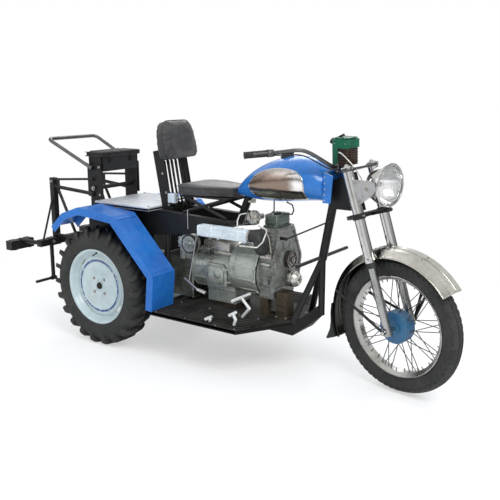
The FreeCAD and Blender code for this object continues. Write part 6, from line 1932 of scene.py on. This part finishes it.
def makeControlBox():
    low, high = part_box("control_box")
    middle, onward = (low + high) / 2, steerLeft.cross(upward).normalized()

    def level(x, y, z):
        return Vector((middle.x, middle.y, z)) + onward * x + steerLeft * y

    def square(half, z):
        return roundedOutline(places(level, (-half, -half, z), (half, -half, z), (half, half, z),
                                     (-half, half, z)), 0.01, 4)

    cap = [bevelled(slab(square(0.0475, high.z - 0.009), upward * 0.0045), 0.0014, 2, 50),
           bevelled(slab(square(0.0415, high.z - 0.001), upward * 0.0052), 0.0046, 4, 50),
           bevelled(slab(square(0.0472, high.z - 0.0425), upward * 0.0035), 0.0012, 2, 50)]
    fit(cap, "controlBoxLid", "greenEnamel", "control_box")
    fins = []
    for step in range(6):
        fin = places(level, (-0.011, -0.043, 1.092 + step * 0.0138), (0.0438, -0.043, 1.092 + step * 0.0138),
                     (0.0438, 0.043, 1.092 + step * 0.0138), (-0.011, 0.043, 1.092 + step * 0.0138))
        fins.append(bevelled(slab(fin, upward * 0.0046), 0.0014, 1, 50))
    plate = places(level, (0.0405, -0.022, 1.098), (0.0405, 0.018, 1.098), (0.0405, 0.018, 1.158),
                   (0.0405, -0.022, 1.158))
    fins.append(bevelled(slab(plate, onward * 0.0065), 0.002, 2))
    fit(fins, "controlCoreFins", "brownEnamel", "control_core")
    arm = tube(places(onFork, (-0.06, -0.014, 0.936), (-0.036, -0.012, 0.945), (-0.008, -0.01, 0.948),
                      (0.02, -0.006, 0.952)), 0.0058)
    knob = spun([(0.0005, -0.016), (0.008, -0.015), (0.0108, -0.008), (0.0108, 0.01), (0.008, 0.016),
                 (0.0005, 0.017)], onFork(-0.05, -0.014, 0.94), (steerAhead * 0.95 + steerUp * 0.25), 28)
    pivot = bevelled(drum(onFork(-0.018, -0.01, 0.943), steerLeft, 0.0095, 0.026, 24), 0.002, 2, 50)
    fit([arm, knob, pivot], "controlLever", "blackPlastic", "control_box")
    lead = tube(places(onFork, (-0.006, -0.048, 0.876), (0.01, -0.058, 0.874), (0.03, -0.06, 0.855),
                       (0.06, -0.06, 0.812), (0.084, -0.058, 0.77), (0.094, -0.056, 0.735),
                       (0.094, -0.05, 0.715)), 0.003)
    fit([lead], "paleLead", "paleHose", "control_box", 40)
    screws = [bolt(level(x, -0.0462, high.z - 0.022), -steerLeft, 0.004) for x in (-0.034, 0.034)]
    screws += [bolt(level(x, y, high.z + 0.004), upward, 0.0036) for x in (-0.03, 0.03)
               for y in (-0.03, 0.03)]
    fitBolts(screws, "controlBoxScrews", "control_box")


def makeMudguardTrim():
    def onWheel(radius, y, turn):
        angle = math.radians(turn)
        return onFork(0.06 + radius * math.cos(angle), y, radius * math.sin(angle))

    def around(radius, y, first, last, count):
        return [onWheel(radius, y, first + (last - first) * step / count) for step in range(count + 1)]

    beads = [tube(around(0.3812, 0.0, 21.5, 182.5, 30), 0.0045)]
    for side in (-1, 1):
        beads.append(tube(around(0.3455, side * 0.0635, 20.6, 183.4, 30), 0.003))
        beads.append(tube(around(0.3795, side * 0.04, 21.5, 182.5, 30), 0.0018))
    for turn in (20.9, 183.1):
        hem = ((0.3455, -0.0635), (0.38, -0.04), (0.3805, 0.04), (0.3455, 0.0635))
        beads.append(tube([onWheel(radius, y, turn) for radius, y in hem], 0.0028, 2))
    fit(beads, "mudguardBeads", "guardChrome", "front_mudguard", 40)
    bridge = places(onFork, (0.04, -0.078, 0.3815), (0.08, -0.078, 0.3815), (0.096, -0.02, 0.3815),
                    (0.096, 0.02, 0.3815), (0.08, 0.078, 0.3815), (0.04, 0.078, 0.3815),
                    (0.026, 0.02, 0.3815), (0.026, -0.02, 0.3815))
    plates = [bevelled(slab(bridge, steerUp * 0.004), 0.0012, 1, 50)]
    for side in (-1, 1):
        ear = places(onFork, (0.042, side * 0.0655, 0.3845), (0.078, side * 0.0655, 0.3845),
                     (0.076, side * 0.078, 0.3345), (0.044, side * 0.078, 0.3345))
        plates.append(bevelled(slab(ear, steerLeft * side * 0.0035), 0.001, 1, 50))
    fit(plates, "mudguardBridge", "barSteel", "front_mudguard")
    bolts = [bolt(onFork(x, y, 0.3852), steerUp, 0.0052) for x in (0.048, 0.076) for y in (-0.02, 0.02)]
    for turn in (52, 128, 150):
        angle = math.radians(turn)
        out = steerAhead * math.cos(angle) + steerUp * math.sin(angle)
        bolts += [bolt(onFork(0.06, side * 0.024, 0) + out * 0.3805, out, 0.0046) for side in (-1, 1)]
    fitBolts(bolts, "mudguardBolts", "front_mudguard")


def makeMudFlap():
    line = [(-0.288, 0.154), (-0.309, 0.108), (-0.323, 0.062), (-0.342, 0.022), (-0.384, -0.024)]
    turns = [math.radians(turn) for turn in (183.5, 178, 172, 166, 160, 157.5)]
    inner = [(-0.376, -0.029)] + [(0.06 + 0.3795 * math.cos(turn), 0.3795 * math.sin(turn)) for turn in turns]
    flap = slab([onFork(x, -0.056, z) for x, z in line + inner], steerLeft * 0.112)
    fit([bevelled(flap, 0.0022, 2)], "mudFlap", "blackRubber", "front_mudguard", 40)


makeHeadlamp()
makeYokes()
makeBarDress()
makeControlBox()
makeMudguardTrim()
makeMudFlap()
print("front end dressed")


# fenders, deck and footboard

fender = {"outer": 0.392, "inner": 0.212, "bead": 0.0034, "skirt": 0.04,
          "line": ((-0.323, 0.662), (-0.23, 0.748), (-0.092, 0.796), (0.174, 0.771), (0.46, 0.475),
                   (0.441, 0.2785))}
deck = {"rear": -0.139, "front": 0.28, "half": 0.2115, "top": 0.806, "low": 0.784}
footboard = {"top": 0.278, "low": 0.266, "rear": 0.42, "knee": 0.998, "nose": 1.157, "half": 0.388,
             "noseHalf": 0.105, "ridges": (0.213, 0.246, 0.279, 0.312, 0.345), "ridgeWidth": 0.013,
             "ridgeHeight": 0.0042}


def makeFenderTrim():
    line, outer, inner, bead, skirt = taken(fender, "line outer inner bead skirt")
    for side, name in ((-1, "right"), (1, "left")):
        beads = []
        for y in (outer - 0.0032, inner + 0.0032):
            beads.append(tube([ahead(x, side * y, z - 0.0022) for x, z in line], bead, 2))
        inside = line[1:5]
        edge = [ahead(x, side * (outer - 0.0022), z - skirt) for x, z in inside]
        beads.append(tube(edge, 0.0028, 2))
        for (x0, z0), (x1, z1) in ((line[3], line[4]),):
            along = Vector((x1 - x0, 0, z1 - z0))
            up = Vector((-along.z, 0, along.x)).normalized()
            up = up if up.z > 0 else -up
            for share in (0.06, 0.94):
                spot = ahead(x0, 0, z0) + along * share
                swage = box((-0.006, -0.082, -0.0006), (0.006, 0.082, 0.0022))
                turned = along.to_track_quat("X", "Z").to_matrix().to_4x4()
                swage.data.transform(Matrix.Translation(spot + leftward * side * 0.302 + up * 0.0002)
                                     @ turned)
                beads.append(bevelled(swage, 0.0019, 3))
        fit(beads, name + "FenderBeads", "blueEnamel", "fender_" + name, 40)
        bolts = []
        for share in (0.18, 0.5, 0.82):
            (x0, z0), (x1, z1) = line[2], line[3]
            bolts.append(bolt(ahead(x0 + (x1 - x0) * share, side * (inner + 0.014),
                                    z0 + (z1 - z0) * share + 0.0001), upward, 0.0052))
        fitBolts(bolts, name + "FenderBolts", "fender_" + name)


def makeDeckTrim():
    given = deck
    top, low = taken(given, "top low")
    edges, skirts = [], []
    for side in (-1, 1):
        rear, front, y = given["rear"], given["front"], side * given["half"]
        edges.append(softBox((rear, y - 0.0035, top - 0.008), (front, y + 0.0005, top + 0.0014), 0.0013, 2))
        skirts.append(softBox((rear, y - 0.0025, low + 0.002), (front, y + 0.0004, top - 0.0078), 0.001, 1))
    for x in (given["rear"] - 0.0005, given["front"] - 0.0035):
        half = given["half"]
        edges.append(softBox((x, -half, top - 0.008), (x + 0.004, half, top + 0.0014), 0.0013, 2))
        skirts.append(softBox((x, -half, low + 0.002), (x + 0.0038, half, top - 0.0078), 0.001, 1))
    fit(skirts, "deckSkirts", "blackEnamel", "deck_plate")
    for x in (0.002, 0.142):
        edges.append(softBox((x, -given["half"] + 0.004, top - 0.0006),
                             (x + 0.01, given["half"] - 0.004, top + 0.0016), 0.001, 2))
    fit(edges, "deckEdges", "deckPlateMetal", "deck_plate")
    bolts = []
    for x in (given["rear"] + 0.014, given["front"] - 0.016):
        for y in (-0.194, 0.194):
            bolts.append(bolt(ahead(x, y, top + 0.0008), upward, 0.0046))
    fitBolts(bolts, "deckScrews", "deck_plate")


def makeFootboardTrim():
    ridges, knee, rear, half, nose, noseHalf, top, low, ridgeHeight, ridgeWidth = taken(
        footboard, "ridges knee rear half nose noseHalf top low ridgeHeight ridgeWidth")
    parts = []
    for offset in ridges:
        reach = knee - 0.014 + (half - offset) * 0.45
        for side in (-1, 1):
            parts.append(softBox((rear + 0.03, side * offset - ridgeWidth / 2, top - 0.001),
                                 (reach, side * offset + ridgeWidth / 2, top + ridgeHeight), 0.004, 3))
    for side in (-1, 1):
        corners = [(rear, half), (knee, half), (nose, noseHalf)]
        for (x0, y0), (x1, y1) in zip(corners, corners[1:]):
            start, end = ahead(x0, side * y0, low - 0.008), ahead(x1, side * y1, low - 0.008)
            inward = Vector((-(end - start).y, (end - start).x, 0)).normalized() * 0.004
            inward = inward if inward.y * side < 0 else -inward
            parts.append(bevelled(slab([start, end, end + inward, start + inward], (0, 0, 0.0235)), 0.0012,
                                  1))
    fit(parts, "footboardRidges", "boardBlack", "footboard")
    bolts = []
    for side in (-1, 1):
        for x in (0.46, 0.66, 0.86, 0.98):
            bolts.append(bolt(ahead(x, side * 0.374, top), upward, 0.0055))
            bolts.append(bolt(ahead(x, side * 0.16, top), upward, 0.0055))
    for y in (-0.07, 0.07):
        bolts.append(bolt(ahead(1.135, y, top), upward, 0.0055))
    fitBolts(bolts, "footboardBolts", "footboard")


makeFenderTrim()
makeDeckTrim()
makeFootboardTrim()
print("body panels trimmed")


# tool box, rear portal, tool lift and seat fittings

toolbox = {"rear": -0.264, "front": -0.128, "half": 0.142, "low": 0.972, "lidLow": 1.0595, "lidTop": 1.0833,
           "lidHalf": 0.158, "lidFront": -0.12}
lift = {"portal": -0.19, "mast": -0.52, "mastHalf": 0.19, "barHeight": 0.525, "armOut": 0.167}


def makeToolbox():
    lidLow, lidFront, lidHalf, rear, lidTop, half, front, low = taken(
        toolbox, "lidLow lidFront lidHalf rear lidTop half front low")
    lid = [softBox((rear + 0.018, -half + 0.012, lidTop - 0.001),
                   (lidFront - 0.016, half - 0.012, lidTop + 0.0028), 0.0026, 3)]
    corners = places(ahead, (rear + 0.002, -lidHalf, lidLow), (lidFront, -lidHalf, lidLow),
                     (lidFront, lidHalf, lidLow), (rear + 0.002, lidHalf, lidLow))
    lid.append(tube(corners, 0.0026, 2))
    lid.append(tube([corner + upward * 0.0225 for corner in corners], 0.0022, 2))
    for y in (-0.086, 0.086):
        lid.append(softBox((lidFront - 0.002, y - 0.013, lidLow - 0.006),
                           (lidFront + 0.0022, y + 0.013, lidTop - 0.003), 0.0014, 2))
    fit(lid, "toolboxLidPress", "blackEnamel", "toolbox_lid")
    body = []
    for y in (-0.086, 0.086):
        body.append(softBox((front - 0.001, y - 0.011, 1.018), (front + 0.005, y + 0.011, 1.05), 0.0015, 2))
        body.append(tube(places(ahead, (front + 0.006, y - 0.008, 1.046), (front + 0.007, y - 0.008, 1.026),
                                (front + 0.007, y + 0.008, 1.026), (front + 0.006, y + 0.008, 1.046)), 0.0016,
                         2))
    for z in (0.98, 1.052):
        body.append(softBox((front - 0.001, -half + 0.006, z), (front + 0.0018, half - 0.006, z + 0.006),
                            0.0016, 2))
    for side in (-1, 1):
        body.append(softBox((front - 0.003, side * half - 0.003, low + 0.002),
                            (front + 0.0016, side * half + 0.0016, 1.056), 0.0014, 2))
    fit(body, "toolboxCatches", "blackEnamel", "toolbox")


def weldBead(start, end, radius):
    along = (Vector(end) - Vector(start)).normalized()
    return hoop([(radius - 0.001, 0.0), (radius + 0.0036, 0.0012), (radius + 0.0028, 0.0042),
                 (radius - 0.001, 0.0068)], start, along, 20)


def makePortalAndLift():
    given, fixed, moving, welds = lift, [], [], []
    portal, barHeight = taken(given, "portal barHeight")
    for side in (-1, 1):
        for x in (-0.224, -0.156):
            for z in (0.705, 0.735):
                fixed.append(bolt(ahead(x, side * 0.15, z), (0, side, 0), 0.0068))
        fixed.append(bolt(ahead(portal, side * 0.174, 0.872), (0, side, 0), 0.0105))
        for x, z in ((-0.232, 0.998), (-0.148, 0.998), (-0.232, 0.836), (-0.148, 0.836)):
            moving.append(bolt(ahead(x, side * 0.164, z), (0, side, 0), 0.0058))
        mast = side * given["mastHalf"]
        for low, high, radius in ((0.838, 0.863, 0.011), (0.927, 0.905, 0.007)):
            root, tip = ahead(portal, side * given["armOut"], low), ahead(given["mast"] + 0.018, mast, high)
            welds += [weldBead(root.lerp(tip, 0.012), tip, radius), weldBead(tip, root, radius)]
        head, foot = ahead(-0.475, mast, 0.836), ahead(-0.33, mast, 0.56)
        welds += [weldBead(foot, head, 0.009), weldBead(ahead(-0.5, mast, 0.56), foot, 0.009)]
        moving.append(bolt(ahead(given["mast"], mast - side * 0.017, 0.895), (0, -side, 0), 0.0072))
        moving.append(bolt(ahead(given["mast"], mast + side * 0.017, 0.895), (0, side, 0), 0.0072))
        welds.append(softBox((given["mast"] - 0.0185, mast - 0.0185, 0.909),
                             (given["mast"] + 0.0185, mast + 0.0185, 0.916), 0.002, 2))
        welds.append(softBox((given["mast"] - 0.0215, side * 0.3275 - 0.003, barHeight - 0.0215),
                             (given["mast"] + 0.0215, side * 0.3275 + 0.003, barHeight + 0.0215), 0.003, 2))
        welds.append(softBox((given["mast"] - 0.024, side * 0.235 - 0.021, barHeight - 0.024),
                             (given["mast"] + 0.024, side * 0.235 + 0.021, barHeight + 0.024), 0.003, 2))
        moving.append(bolt(ahead(given["mast"] + 0.024, side * 0.235, barHeight), forward, 0.0085))
        moving.append(bolt(ahead(given["mast"], side * 0.235, barHeight + 0.024), upward, 0.0075))
    fitBolts(fixed, "portalBolts", "rear_portal")
    fitBolts(moving, "liftBolts", "lift_frame")
    fit(welds, "liftWelds", "blackEnamel", "lift_frame", 40)
    clamps = []
    for side in (-1, 1):
        y = side * 0.3
        for shift in (-0.055, 0.055):
            clamps.append(softBox((-0.7685, y + shift - 0.011, 0.4635), (-0.7095, y + shift + 0.011, 0.5245),
                                  0.0022, 2))
        for end in (-0.0845, 0.0845):
            clamps.append(softBox((-0.766, y + end - 0.002, 0.468), (-0.714, y + end + 0.0015, 0.52), 0.0015,
                                  1))
    fit(clamps, "carrierStraps", "blackEnamel", "tool_carriers")
    screws = [bolt(ahead(-0.74, side * 0.3 + shift, 0.5245), upward, 0.0075) for side in (-1, 1)
              for shift in (-0.055, 0.055)]
    fitBolts(screws, "carrierScrews", "tool_carriers")


def makeSeatFittings():
    block = softBox((0.344, -0.122, 0.828), (0.392, -0.088, 0.88), 0.003, 2)
    fit([block], "backrestBlock", "boxWhite", "backrest_frame")
    bolts = [bolt(ahead(0.393, -0.105, z), forward, 0.0042) for z in (0.842, 0.866)]
    for side in (-1, 1):
        for x, z in ((0.335, 0.812), (0.318, 0.88), (0.294, 0.985)):
            bolts.append(bolt(ahead(x, side * 0.1025, z), (0, side, 0), 0.0058))
    straps = []
    for y, half in ((-0.0833, 0.0085), (-0.05, 0.0075), (-0.0167, 0.005), (0.0167, 0.0055), (0.05, 0.005),
                    (0.0833, 0.007)):
        edge = places(ahead, (0.339, y - half, 0.7895), (0.2954, y - half, 1.056), (0.2954, y + half, 1.056),
                      (0.339, y + half, 0.7895))
        edge = [point - forward * 0.001 for point in edge]
        straps.append(bevelled(slab(edge, forward * -0.005), 0.0012, 1))
    fit(straps, "backrestStraps", "blackEnamel", "backrest_frame")
    fitBolts(bolts, "backrestBolts", "backrest_frame")
    # Black sheets close the inner side of the wheel arches; they also stand in for the shade in the gap above the
    # transfer case, where the far wheel would otherwise show.
    sheets = []
    outline = [(-0.2, 0.738), (-0.092, 0.788), (0.174, 0.763), (0.452, 0.474), (0.438, 0.33), (0.33, 0.33),
               (0.25, 0.4), (0.1, 0.455), (-0.1, 0.455), (-0.2, 0.5)]
    for side in (-1, 1):
        sheets.append(bevelled(slab([ahead(x, side * 0.2105, z) for x, z in outline], (0, -side * 0.002, 0)),
                               0.0006, 1))
    fit(sheets, "archShadeSheets", "blackEnamel", "main_frame")


makeToolbox()
makePortalAndLift()
makeSeatFittings()
print("rear end dressed")


# last, the shared bolt shape is discarded

discard(boltShape)
print("pieces finished")
